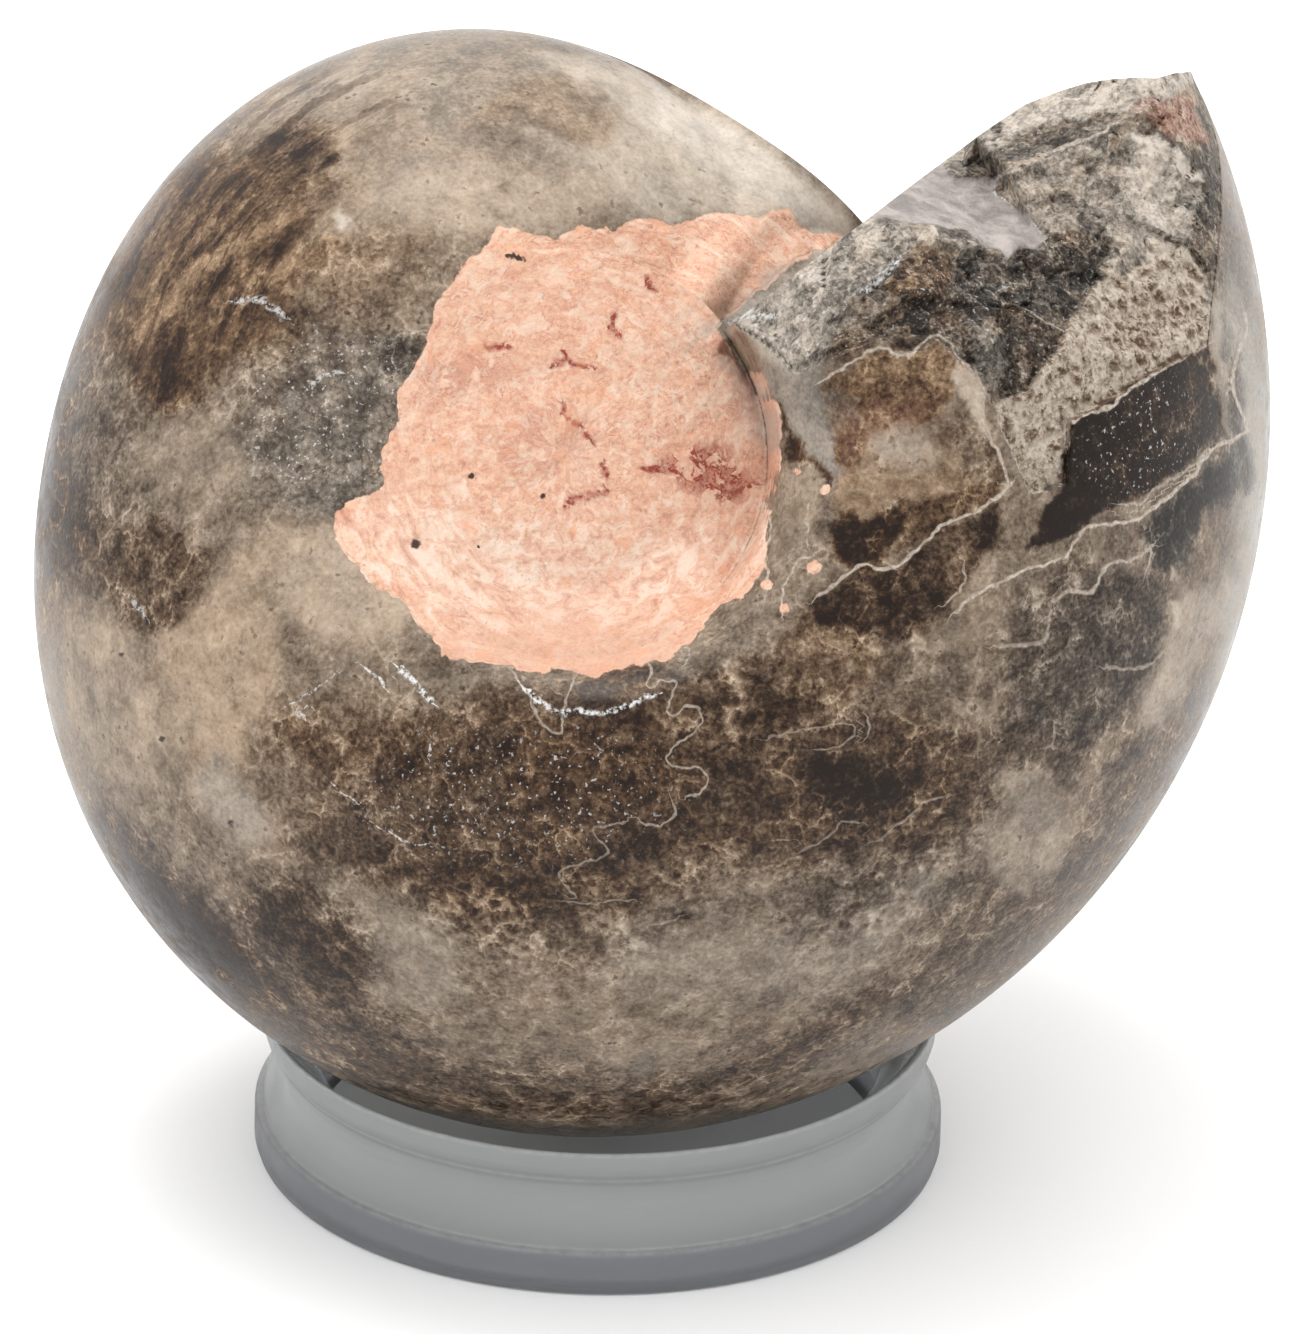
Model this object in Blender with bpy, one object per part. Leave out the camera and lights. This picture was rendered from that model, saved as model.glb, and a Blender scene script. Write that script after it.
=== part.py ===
"""A polished, globose ammonite with a broken last whorl, resting in a clear acrylic ring stand.

The shell is a coil: its outline is a radius that grows with the coil angle, and every radial section
is a rounded flank on each side of the middle plane. Each umbilicus is filled with chalky matrix, and
the last whorl ends in a fracture. All driving dimensions are in millimetres and degrees.
Run with: blender --background --python part.py
"""
import math

import bmesh
import bpy
import numpy as np
from mathutils import Matrix, Vector, noise

MM = 0.001

# Shell outline: distance from the coil's centre to the outer edge, at these coil angles.
OUTLINE_ANGLES = (38, 60, 85, 130, 175, 220, 265, 310, 350, 393)
OUTLINE_RADII = (27.9, 27.6, 30.3, 34.2, 36.1, 42.4, 47.6, 49.2, 50.8, 54.1)
# Radial section: half thickness and flank start as shares of the outline radius.
HALF_THICKNESS = 0.70
FLANK_START = 0.38
FLANK_ROUNDNESS = 1.8
UMBILICUS_RADIUS = 14.5
# Umbilical shoulder: its drop as a share of the half thickness, over this width.
SHOULDER_DROP = 0.20
SHOULDER_WIDTH = 6.0
SHOULDER_CURVE = 1.6

# The last whorl ends near this coil angle, a little earlier towards its outer edge.
END_ANGLE = 398.0
END_LEAN = 2.0
END_HOOK = 4.5

# Matrix in the umbilicus: its level over the middle plane, its tilt and the direction it rises to.
MATRIX_LEVEL = 24.4
MATRIX_TILT = 3.2
MATRIX_HIGH_SIDE = 235.0
MATRIX_RELIEF = 0.9
MATRIX_GRAIN = 7.0
# The matrix also spills over the start of the inner whorl, thinning outwards.
SPILL_ANGLE = 50.0
SPILL_SPREAD = 26.0
SPILL_LEVEL = 21.3
SPILL_FALL = 0.95

# Fracture on the near flank, as (radius, angle past the full turn) pairs. The skin is lost beyond the
# first line, the deep break starts at the second, and beyond the third a steep face falls away.
SKIN_EDGE = ((14.5, 36), (16.3, 18), (22, 19.4), (25.8, 17), (28.7, 9), (30, 1), (32, -6),
             (34.6, -4.3), (34.9, 3), (41, 7.3), (46, 9.4), (47, 13), (48.4, 24), (50, 31), (53, 36))
SKIN_DEPTH = 1.0
SKIN_RAMP = 0.8
BREAK_EDGE = ((14.5, 38), (16.5, 22), (22, 20.5), (26, 18.5), (31, 13), (41, 9), (46, 11),
              (48.2, 22), (50, 31), (54, 36))
BREAK_SLOPE = ((14.5, 0.75), (30, 0.80), (37, 0.75), (46, 0.35), (50, 0.15))
RIDGE_EDGE = ((24, 40), (27, 37), (31.4, 30), (33.5, 25), (36.6, 24.5), (37.2, 32), (45.4, 30.8),
              (50, 31), (53, 40))
RIDGE_SLOPE = 0.9
BREAK_RAMP = 2.5
BREAK_RELIEF = 1.35
BREAK_GRAIN = 3.8
# Facets of the break: radius, angle, depth offset, tilt outwards and tilt along the coil.
FACETS = ((20, 31, -0.9, 0.10, 0.10), (25, 26, 0.6, 0.20, -0.15), (33, 31, 0.4, -0.05, 0.0),
          (32, 19, 1.0, 0.05, 0.25), (38, 18, -0.6, 0.10, 0.20), (41, 34, -0.8, 0.0, 0.15),
          (43, 26, 0.3, -0.15, -0.20), (43, 15, -0.5, 0.12, 0.10), (48, 32, -0.3, 0.0, 0.10))
FACET_BLEND = 0.7

# Hollow in the end face of the last whorl, full where the face is this wide, and its roughness.
END_HOLLOW = 2.2
HOLLOW_WIDTH = 12.0
END_RELIEF = 1.1
END_GRAIN = 4.0

# How the shell leans: yaw of the coil's axis, its elevation, and the coil's centre over the ring.
AXIS_YAW = 3.3
AXIS_ELEVATION = 26.5
COIL_CENTRE = (-4.2, 6.0, 50.84)

# Mesh density: rows round the coil, and columns over the near and the far flank.
ROWS_LAST = 44
ROWS_REST = 50
LAST_STRETCH = 52.0
NEAR_COLUMNS = 20
FAR_COLUMNS = 12
COLUMN_SPREAD = 1.3
COLUMN_BIAS = 0.9
PLUG_RINGS = 3
PLUG_INSET = 0.12
END_ROWS = 6

# Ring stand: radii and heights of its turned profile.
RING_RADIUS = 25.0
RING_HEIGHT = 11.3
FLANGE_HEIGHT = 3.6
WAIST_RADIUS = 23.5
RIM_HEIGHT = 2.5
BORE_RADIUS = 20.5
SEAT_DEPTH = 4.0
SEAT_RADIUS = 24.3
RING_EDGE = 0.4
RING_SEGMENTS = 64


def clear_scene():
    for item in list(bpy.data.objects):
        bpy.data.objects.remove(item, do_unlink=True)


def make_material(name, colour, roughness, transmission=0.0, ior=1.5):
    material = bpy.data.materials.new(name)
    material.use_nodes = True
    shader = material.node_tree.nodes["Principled BSDF"]
    shader.inputs["Base Color"].default_value = (*colour, 1.0)
    shader.inputs["Roughness"].default_value = roughness
    shader.inputs["Metallic"].default_value = 0.0
    shader.inputs["Transmission Weight"].default_value = transmission
    shader.inputs["IOR"].default_value = ior
    return material


def natural_spline(knots, values):
    """Second derivatives of the natural cubic through the knots."""
    knots, values = np.array(knots, float), np.array(values, float)
    step, slope = np.diff(knots), np.diff(values) / np.diff(knots)
    system = np.eye(len(knots))
    right = np.zeros(len(knots))
    for i in range(1, len(knots) - 1):
        system[i, i - 1:i + 2] = step[i - 1], 2 * (step[i - 1] + step[i]), step[i]
        right[i] = 6 * (slope[i] - slope[i - 1])
    return np.linalg.solve(system, right)


OUTLINE_LOGS = np.log(OUTLINE_RADII)
OUTLINE_BEND = natural_spline(OUTLINE_ANGLES, OUTLINE_LOGS)


def outline_radius(angle):
    """Radius of the shell's outer edge at a coil angle."""
    knots = OUTLINE_ANGLES
    angle = min(max(angle, knots[0] - 10), knots[-1] + 10)
    i = min(max(int(np.searchsorted(knots, angle)) - 1, 0), len(knots) - 2)
    width = knots[i + 1] - knots[i]
    a, b = (knots[i + 1] - angle) / width, (angle - knots[i]) / width
    bend = (a ** 3 - a) * OUTLINE_BEND[i] + (b ** 3 - b) * OUTLINE_BEND[i + 1]
    return math.exp(a * OUTLINE_LOGS[i] + b * OUTLINE_LOGS[i + 1] + bend * width ** 2 / 6)


def end_angle(share):
    """Coil angle of the whorl's end, by share of the way to the outer edge."""
    return END_ANGLE - END_LEAN * share - END_HOOK * share ** 4


def flank_height(angle, radius):
    """Half thickness of the polished shell."""
    outer = outline_radius(angle)
    thick, start = HALF_THICKNESS * outer, FLANK_START * outer
    if radius <= start:
        return thick * (1 - SHOULDER_DROP * ((start - radius) / SHOULDER_WIDTH) ** SHOULDER_CURVE)
    out = min((radius - start) / (outer - start), 1.0)
    return thick * math.sqrt(max(1 - out ** FLANK_ROUNDNESS, 0.0))


def matrix_height(angle, radius):
    """Surface of the matrix: a tilted, slightly lumpy plug, and its spill on the inner whorl."""
    lean = math.cos(math.radians(angle - MATRIX_HIGH_SIDE)) * radius / UMBILICUS_RADIUS
    turn = (angle - SPILL_ANGLE + 180) % 360 - 180
    if radius <= UMBILICUS_RADIUS:
        x, z = polar(radius, angle)
        lumps = noise.noise((x / MATRIX_GRAIN, z / MATRIX_GRAIN, 3.0)) * MATRIX_RELIEF
        return MATRIX_LEVEL + MATRIX_TILT * lean + lumps
    fade = math.exp(-(turn / SPILL_SPREAD) ** 2)
    return fade * (SPILL_LEVEL - SPILL_FALL * (radius - UMBILICUS_RADIUS))


def polar(radius, angle):
    return radius * math.cos(math.radians(angle)), radius * math.sin(math.radians(angle))


def table(pairs, radius):
    """Value between the pairs of a short (radius, value) table."""
    return float(np.interp(radius, [p[0] for p in pairs], [p[1] for p in pairs]))


def facet_depth(radius, angle):
    """Depth offset of the flat facets, blended across their borders."""
    total, weights = 0.0, 0.0
    x, z = polar(radius, angle)
    for facet_radius, facet_angle, depth, tilt_out, tilt_along in FACETS:
        fx, fz = polar(facet_radius, facet_angle)
        distance = math.hypot(x - fx, z - fz)
        out = radius - facet_radius
        along = math.radians(angle - facet_angle) * facet_radius
        weight = math.exp(-distance / FACET_BLEND)
        total += weight * (depth + tilt_out * out + tilt_along * along)
        weights += weight
    return total / weights if weights > 0 else 0.0


def past_edge(edge, radius, turn):
    """Distance along the coil past an edge line, in millimetres; zero before it."""
    return max(math.radians(turn - table(edge, radius)) * radius, 0.0)


def break_depth(radius, angle):
    """How far the fracture lies below the polished near flank."""
    turn = angle - 360.0
    skin = past_edge(SKIN_EDGE, radius, turn)
    deep = past_edge(BREAK_EDGE, radius, turn)
    steep = past_edge(RIDGE_EDGE, radius, turn)
    if skin == 0:
        return 0.0
    x, z = polar(radius, angle)
    depth = SKIN_DEPTH * min(skin / SKIN_RAMP, 1.0)
    if deep > 0:
        lumps = noise.fractal((x / BREAK_GRAIN, z / BREAK_GRAIN, 9.0), 0.7, 2.2, 3) * BREAK_RELIEF
        lumps *= 1 - 0.7 * min(steep, 1.0)
        depth += table(BREAK_SLOPE, radius) * deep + RIDGE_SLOPE * steep
        depth += min(deep / BREAK_RAMP, 1.0) * (facet_depth(radius, turn) + lumps)
    return max(depth, 0.0)


def shell_point(angle, share, side):
    """Radius, coil angle and height of one point; share runs from the umbilicus to the outer edge."""
    radius = UMBILICUS_RADIUS + (outline_radius(angle) - UMBILICUS_RADIUS) * share ** COLUMN_BIAS
    height = flank_height(angle, radius)
    if share < 1:
        height = max(height, matrix_height(angle, radius))
    if side < 0:
        return radius, angle, -height
    return radius, angle, height - break_depth(radius, angle)


def column_shares():
    """Share of the flank's width and side of the middle plane, for each column of the section."""
    def shares(count):
        return [math.sin(math.pi / 2 * (i / count) ** COLUMN_SPREAD) for i in range(count)]

    near = [(share, 1) for share in shares(NEAR_COLUMNS)]
    far = [(share, -1) for share in shares(FAR_COLUMNS)]
    return near + [(1.0, 1)] + far[::-1]


def row_fractions():
    """Share of the whorl covered at each row: dense over the last stretch."""
    split = 1 - LAST_STRETCH / 360
    rest = [split * i / ROWS_REST for i in range(ROWS_REST)]
    last = [split + (1 - split) * i / ROWS_LAST for i in range(ROWS_LAST + 1)]
    return rest + last


def coil_frame():
    """Turns coil coordinates (in plane, in plane, along the axis) to the stand's."""
    yaw, lift = math.radians(AXIS_YAW), math.radians(AXIS_ELEVATION)
    axis = Vector((math.sin(yaw) * math.cos(lift), -math.cos(yaw) * math.cos(lift), math.sin(lift)))
    side = Vector((math.cos(yaw), math.sin(yaw), 0.0))
    up = axis.cross(side)
    frame = Matrix((side, up, axis)).transposed().to_4x4()
    frame.translation = Vector(COIL_CENTRE)
    return frame


def build_fossil():
    mesh = bmesh.new()
    frame = coil_frame()

    def add(radius, angle, height):
        x, z = polar(radius, angle)
        return mesh.verts.new(frame @ Vector((x, z, height)) * MM)

    fractions = row_fractions()
    columns = column_shares()
    shell_points = []
    for fraction in fractions:
        back = 360 * (1 - fraction)
        shell_points.append([shell_point(end_angle(s) - back, s, side) for s, side in columns])
    shell = [[add(*point) for point in row] for row in shell_points]

    # Matrix plugs: concentric rings inside the first and the last column, with a centre point each.
    plugs = []
    for side in (1, -1):
        rings = []
        for ring in range(PLUG_RINGS, 0, -1):
            radius = UMBILICUS_RADIUS * (ring - PLUG_INSET) / PLUG_RINGS
            angles = [END_ANGLE - 360 * (1 - fraction) for fraction in fractions[:-1]]
            rings.append([add(radius, a, side * matrix_height(a, radius)) for a in angles])
        rings.append(add(0.0, 0.0, side * matrix_height(0.0, 0.0)))
        plugs.append(rings)

    # End face: rows that join the end of the last whorl to the start of the inner one.
    face = [shell[-1]]
    for row in range(1, END_ROWS):
        share = row / END_ROWS
        line = []
        for outer, inner in zip(shell_points[-1], shell_points[0]):
            radius = outer[0] + (inner[0] - outer[0]) * share
            height = outer[2] + (inner[2] - outer[2]) * share
            middle = math.sin(math.pi * share) * min(abs(outer[0] - inner[0]) / HOLLOW_WIDTH, 1.0)
            rough = noise.fractal((radius / END_GRAIN, height / END_GRAIN, 5.0), 0.8, 2.1, 3) * END_RELIEF
            back = math.degrees((END_HOLLOW - rough) * middle / radius)
            line.append(add(radius, outer[1] - back, height))
        face.append(line)
    face.append(shell[0])

    def fill(first, second):
        for i in range(len(first) - 1):
            corners = (first[i], second[i], second[i + 1], first[i + 1])
            mesh.faces.new([c for n, c in enumerate(corners) if c not in corners[:n]])

    for first, second in zip(shell, shell[1:]):
        fill(first, second)
    for first, second in zip(face, face[1:]):
        fill(first, second)

    def fan(line, tip):
        for a, b in zip(line, line[1:]):
            mesh.faces.new((a, b, tip))

    for rings, column in zip(plugs, (0, -1)):
        loops = [ring + ring[:1] for ring in rings[:-1]]
        fill([row[column] for row in shell], loops[0])
        fan([row[column] for row in face], loops[0][0])
        for outer, inner in zip(loops, loops[1:]):
            fill(outer, inner)
        fan(loops[-1], rings[-1])
    bmesh.ops.triangulate(mesh, faces=mesh.faces)
    bmesh.ops.recalc_face_normals(mesh, faces=mesh.faces)
    return finish(mesh, "ammonite", make_material("fossil_shell", (0.23, 0.17, 0.12), 0.28))


def ring_profile():
    """Closed section of the ring, as radius and height, from the foot up its outside."""
    rim_start = RING_HEIGHT - RIM_HEIGHT
    return (
        (RING_RADIUS - 0.7, 0.0), (RING_RADIUS, 1.0), (RING_RADIUS, FLANGE_HEIGHT - RING_EDGE),
        (RING_RADIUS - RING_EDGE, FLANGE_HEIGHT), (WAIST_RADIUS + 0.2, FLANGE_HEIGHT + 0.2),
        (WAIST_RADIUS, FLANGE_HEIGHT + 0.7), (WAIST_RADIUS, rim_start - 0.8),
        (WAIST_RADIUS + 0.4, rim_start - 0.2), (RING_RADIUS - RING_EDGE, rim_start),
        (RING_RADIUS, rim_start + RING_EDGE), (RING_RADIUS, RING_HEIGHT - RING_EDGE),
        (RING_RADIUS - RING_EDGE, RING_HEIGHT), (SEAT_RADIUS, RING_HEIGHT),
        (BORE_RADIUS, RING_HEIGHT - SEAT_DEPTH), (BORE_RADIUS, 0.0),
    )


def build_ring():
    mesh = bmesh.new()
    verts = [mesh.verts.new((radius * MM, 0.0, height * MM)) for radius, height in ring_profile()]
    edges = [mesh.edges.new((a, b)) for a, b in zip(verts, verts[1:] + verts[:1])]
    bmesh.ops.spin(mesh, geom=verts + edges, cent=(0, 0, 0), axis=(0, 0, 1),
                   angle=2 * math.pi, steps=RING_SEGMENTS, use_merge=False)
    bmesh.ops.remove_doubles(mesh, verts=mesh.verts, dist=0.00002)
    bmesh.ops.triangulate(mesh, faces=mesh.faces)
    bmesh.ops.recalc_face_normals(mesh, faces=mesh.faces)
    acrylic = make_material("clear_acrylic", (0.86, 0.88, 0.88), 0.12, transmission=1.0, ior=1.49)
    return finish(mesh, "ring_stand", acrylic)


def finish(mesh, name, material):
    data = bpy.data.meshes.new(name)
    mesh.to_mesh(data)
    mesh.free()
    data.shade_smooth()
    data.set_sharp_from_angle(angle=math.radians(40))
    data.materials.append(material)
    item = bpy.data.objects.new(name, data)
    bpy.context.scene.collection.objects.link(item)
    return item


def centre_on_footprint(items):
    """Moves everything so that the middle of the whole footprint is the origin."""
    points = [vertex.co for item in items for vertex in item.data.vertices]
    low = [min(p[i] for p in points) for i in range(3)]
    high = [max(p[i] for p in points) for i in range(3)]
    shift = Vector((-(low[0] + high[0]) / 2, -(low[1] + high[1]) / 2, -low[2]))
    for item in items:
        item.location = shift


clear_scene()
centre_on_footprint([build_fossil(), build_ring()])
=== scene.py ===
"""Looks of the polished ammonite: marbled brown stone, peach matrix, a broken last whorl, a clear ring.

Lengths are in millimetres and angles in degrees, unless a name says otherwise. The shell follows the
same coil as the solid: places on it are coil-plane points (x, z), seen along the coil's axis.
"""
import math
from functools import partialmethod

import bpy
import numpy as np
from mathutils import Matrix, Vector, noise


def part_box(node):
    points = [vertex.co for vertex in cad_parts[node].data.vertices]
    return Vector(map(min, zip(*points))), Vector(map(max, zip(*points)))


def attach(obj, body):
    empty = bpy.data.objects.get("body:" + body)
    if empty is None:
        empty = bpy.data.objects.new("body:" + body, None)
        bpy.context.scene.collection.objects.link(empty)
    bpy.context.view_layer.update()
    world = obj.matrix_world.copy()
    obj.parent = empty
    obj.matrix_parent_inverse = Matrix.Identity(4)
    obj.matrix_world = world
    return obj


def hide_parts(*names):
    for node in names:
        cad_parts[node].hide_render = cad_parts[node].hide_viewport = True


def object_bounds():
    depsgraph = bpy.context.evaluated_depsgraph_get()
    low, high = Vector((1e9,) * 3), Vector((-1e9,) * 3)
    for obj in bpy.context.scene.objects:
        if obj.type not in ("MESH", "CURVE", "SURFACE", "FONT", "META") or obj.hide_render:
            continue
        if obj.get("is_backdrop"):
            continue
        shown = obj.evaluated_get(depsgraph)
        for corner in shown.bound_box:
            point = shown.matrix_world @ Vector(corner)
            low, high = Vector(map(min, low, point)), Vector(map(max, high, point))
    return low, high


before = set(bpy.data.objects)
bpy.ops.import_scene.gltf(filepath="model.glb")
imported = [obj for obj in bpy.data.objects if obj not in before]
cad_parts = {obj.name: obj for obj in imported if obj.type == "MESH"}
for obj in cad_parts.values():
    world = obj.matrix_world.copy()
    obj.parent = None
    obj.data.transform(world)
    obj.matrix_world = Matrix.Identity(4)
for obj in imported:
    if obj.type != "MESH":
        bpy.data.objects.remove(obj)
cad_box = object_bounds()

MM = 0.001
VERY_FAR = 1e9
NO_LENGTH = 1e-12

# ---- The coil, as in the solid ----
OUTLINE_ANGLES = (38, 60, 85, 130, 175, 220, 265, 310, 350, 393)
OUTLINE_RADII = (27.9, 27.6, 30.3, 34.2, 36.1, 42.4, 47.6, 49.2, 50.8, 54.1)
OUTLINE_MARGIN = 10
HALF_THICKNESS = 0.70
FLANK_START = 0.38
FLANK_ROUNDNESS = 1.8
UMBILICUS_RADIUS = 14.5
SHOULDER_DROP = 0.20
SHOULDER_WIDTH = 6.0
SHOULDER_CURVE = 1.6
END_ANGLE = 398.0
END_LEAN = 2.0
END_HOOK = 4.5
END_WAVE = ((0, 0), (0.25, 0.3), (0.43, 0.8), (0.65, 1.35), (0.77, 0.6), (0.895, -0.9), (0.97, -0.4), (1, 0))
MATRIX_LEVEL = 24.4
MATRIX_TILT = 3.2
MATRIX_HIGH_SIDE = 235.0
SPILL_ANGLE = 50.0
SPILL_SPREAD = 26.0
SPILL_LEVEL = 21.3
SPILL_FALL = 0.95
FILLET_START = 9.0
# Coil angles where the fillet of matrix fades out before the break, and grows in after it.
OPEN_SIDE = (335, 300)
START_SIDE = (38, 60)
SKIN_EDGE = ((14.5, 36), (16.3, 18), (22, 19.4), (25.8, 17), (28.7, 9), (30, 1), (32, -6),
             (34.6, -4.3), (34.9, 3), (41, 7.3), (46, 9.4), (47, 13), (48.6, 17), (50.4, 21), (52.4, 25.5),
             (53.4, 29), (56, 34))
SKIN_DEPTH = ((40, 1.0), (46, 0.3))
SKIN_RAMP = 0.35
BREAK_EDGE = ((14.5, 38), (16.5, 22), (22, 20.5), (26, 18.5), (31, 13), (41, 9), (46, 11),
              (48.6, 19), (50.4, 23.5), (52.4, 28), (56, 36))
BREAK_SLOPE = ((14.5, 0.75), (30, 0.80), (37, 0.75), (46, 0.35), (50, 0.15))
RIDGE_EDGE = ((24, 40), (27, 37), (31.4, 30), (33.5, 25), (36.6, 24.5), (37.2, 32), (45.4, 30.8),
              (50, 31), (53, 40))
RIDGE_SLOPE = 0.9
RIDGE_CALM = 0.85
BREAK_RAMP = 2.5
END_HOLLOW = 2.2
HOLLOW_WIDTH = 12.0
AXIS_YAW = 3.3
AXIS_ELEVATION = 26.5
COIL_CENTRE = (-4.2, 6.0, 50.84)

# ---- The ring: (radius, height) round its section, from the seat's inner edge outwards ----
RING_PROFILE = (
    (20.5, 7.3), (24, 11), (24.2, 11.1), (24.4, 10.95), (24.45, 10.6), (24.4, 9.8), (24.25, 9.3), (24, 8.85),
    (23.85, 8.6), (23.62, 8.2), (23.52, 7.6), (23.55, 7), (23.72, 6.3), (23.95, 5.6), (24.15, 4.9),
    (24.3, 4.1), (24.36, 3.5), (24.8, 3.38), (24.97, 3.2), (25, 2.9), (25, 0.8), (24.8, 0.2), (24.4, 0),
    (20.9, 0), (20.5, 0.4), (20.5, 7.3),
)
RING_SEGMENTS = 180
RING_STEP = 0.15
CLEAR_HEIGHT = 3.4
SEAT_HEIGHT = 7.2
SEAT_RADIUS = 23.4
# Turned edges of the ring that carry painted highlights: their heights, and the width of each highlight
# band.
EDGE_HEIGHTS = (11.0, 8.75, 3.42)
EDGE_WIDTH = 0.13

# ---- Mesh density ----
LAST_STRETCH = 52.0
ROWS_LAST = 200
ROWS_REST = 440
NEAR_COLUMNS = 200
FAR_COLUMNS = 70
PLUG_COLUMNS = 46
COLUMN_SPREAD = 1.3
COLUMN_BIAS = 0.9
PLUG_REACH = 0.999
END_ROWS = 60

# ---- Noise: the fractal's fall and step from one octave to the next, and the lumps' crystal cells ----
FRACTAL_FALL = 0.7
FRACTAL_STEP = 2.1
PUSH_SHIFTS = ((0, 0, 0), (31.7, -17.3, 5.1), (-23.9, 41.3, -8.7))
CELL_SPREAD = 3.7
CELL_TILT = 1.6
CELL_STEP = 0.5
# Ragged edges, by what they are for: one or two pushes of (reach, scale, seed).
WARPS = {
    "patches": ((2.6, 6, 1), (1, 1.8, 2)), "areas": ((0.5, 1.6, 15), (0.25, 0.6, 16)),
    "matrix": ((0.9, 2.8, 3), (0.28, 0.7, 4)), "zones": ((1.6, 4, 5),), "sponge": ((0.6, 1.3, 6),),
    "facet": ((0.3, 1.3, 7),), "lines": ((0.22, 0.55, 9),), "rust": ((0.9, 1.5, 21),),
    "rust_lines": ((0.25, 0.6, 22),),
}
# Crystal lumps on the fracture and the end face: layers of (height, size, seed).
BREAK_LUMPS = ((1.1, 4.6, 0), (0.6, 1.8, 4))
BREAK_CRUMBS = ((0.22, 0.8, 7),)
END_LUMPS = ((0.9, 5, 0), (0.35, 2, 3))
END_SLICE = 40.0
SIDE_STEP = 7.0
# Grain of the fracture, waves of the polish, grit of the matrix, clouds of the end face: layers of
# (height, scale, octaves, seed).
BREAK_GRAIN = ((0.25, 0.9, 3, 2),)
POLISH_WAVES = ((0.05, 6, 2, 0),)
CHALK_GRIT = ((0.16, 3.4, 3, 5), (0.08, 0.8, 2, 6))
END_CLOUDS = ((0.16, 7, 2, 9),)
END_HEATS = ((0.5, 9, 2, 12),)
END_TONE = 0.42
END_WARMTH = 0.2
PIT_SIZE = 1.05
PIT_WIDTH = 0.42
PIT_DEPTH = 0.6
CHALK_DROP = 0.10
# Where the facet, the pits and the matrix begin and end, across their drawn edges.
FACET_EDGE = (0.3, -0.3)
PIT_EDGE = (0.2, -0.5)
CHALK_EDGE = (0.25, -0.35)
LINE_HEIGHT = 0.10
LINE_REACH = 1.6

# ---- Marks on the stone ----
# Tone is 0 for nearly black and 1 for cream. Warmth is -1 for grey, 1 for brown, and more for ochre.
BASE_TONE = 0.46
BASE_WARMTH = 0.25
PATCH_STRENGTH = 0.92
# Soft patches: (x, z, half length, half width, turn, tone, warmth).
PATCHES = (
    # dome over the umbilicus
    (-10, 28, 10, 4.5, 10, 0.58, 0.1), (7, 21, 11, 5.5, -25, 0.78, 0.2), (4, 26, 6, 2.5, -15, 0.73, 0.1),
    (-1.5, 25, 5.5, 2, -5, 0.51, 0.7), (-12, 20, 9, 5, 15, 0.57, 0.6), (-5, 18, 9, 3.2, 0, 0.68, 0.5),
    (14, 19, 6, 2.6, -30, 0.82, 0.3), (-21, 22, 7, 3, 35, 0.47, 0.3), (-25, 14, 10, 8.5, 50, 0.18, 1.5),
    (-35.5, 4, 14, 3, 90, 0.07, 0.8),
    # left side
    (-17, 3, 9, 7, 60, 0.4, 0), (-31, 1, 8, 5, 90, 0.4, 0.1), (-24, -17, 10, 3.8, 100, 0.63, 0.9),
    (-15.5, -9.5, 6.5, 5, 0, 0.67, 0.6), (-23.5, -24, 3.5, 2.5, 60, 0.64, -0.2),
    (-32, -17, 9, 4.5, 110, 0.6, 0.4), (-31, -31, 9, 3.5, -45, 0.14, 0.4),
    (-24, -36, 9, 2.6, -45, -0.08, 0.8), (39, -26, 12, 3, 55, 0.33, 0.2), (30, -34, 10, 3, 45, 0.33, 0.2),
    (-17, -20, 6, 4, 30, 0.46, 0.5),
    # belly
    (0, -25, 21, 6.5, 0, 0.19, 0.9), (4, -17.5, 11, 2.6, 0, 0.24, 0.8), (-12, -26, 8, 5, 10, 0.25, 0.6),
    (26.5, -9, 7, 2.4, 80, 0.58, 0.4), (25, -14.5, 6, 3.5, 20, 0.42, 0.3), (35, -12, 6.5, 5, 30, 0.29, -0.2),
    (31, -25.5, 4.5, 3, 50, 0.56, 0), (34, -19, 9, 3.2, 40, 0.27, 0.1), (16, -15, 5, 3, 0, 0.36, 1),
    # underside
    (3, -35.5, 11, 3.6, 0, 0.38, 0.4), (-12, -35, 5, 3.2, 0, 0.56, 0), (22, -31, 11, 5, 35, 0.35, 0),
    (5, -41.3, 5, 1.8, 0, 0.54, 0.1), (-17, -40, 8, 4, -25, 0.31, 0.4), (0, -45.5, 24, 2.6, 0, 0.36, 0.2),
    # broken end
    (39, 26, 7, 1.3, 8, 0.76, 0), (16, 9.5, 5, 3.5, 40, 0.78, -0.4), (18.5, 14, 3.5, 2, 40, 0.88, -0.3),
    (23, -0.6, 7.5, 3.6, 0, 0.45, 1), (47, 10, 1.6, 10, 0, 0.4, -0.1),
)
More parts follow.
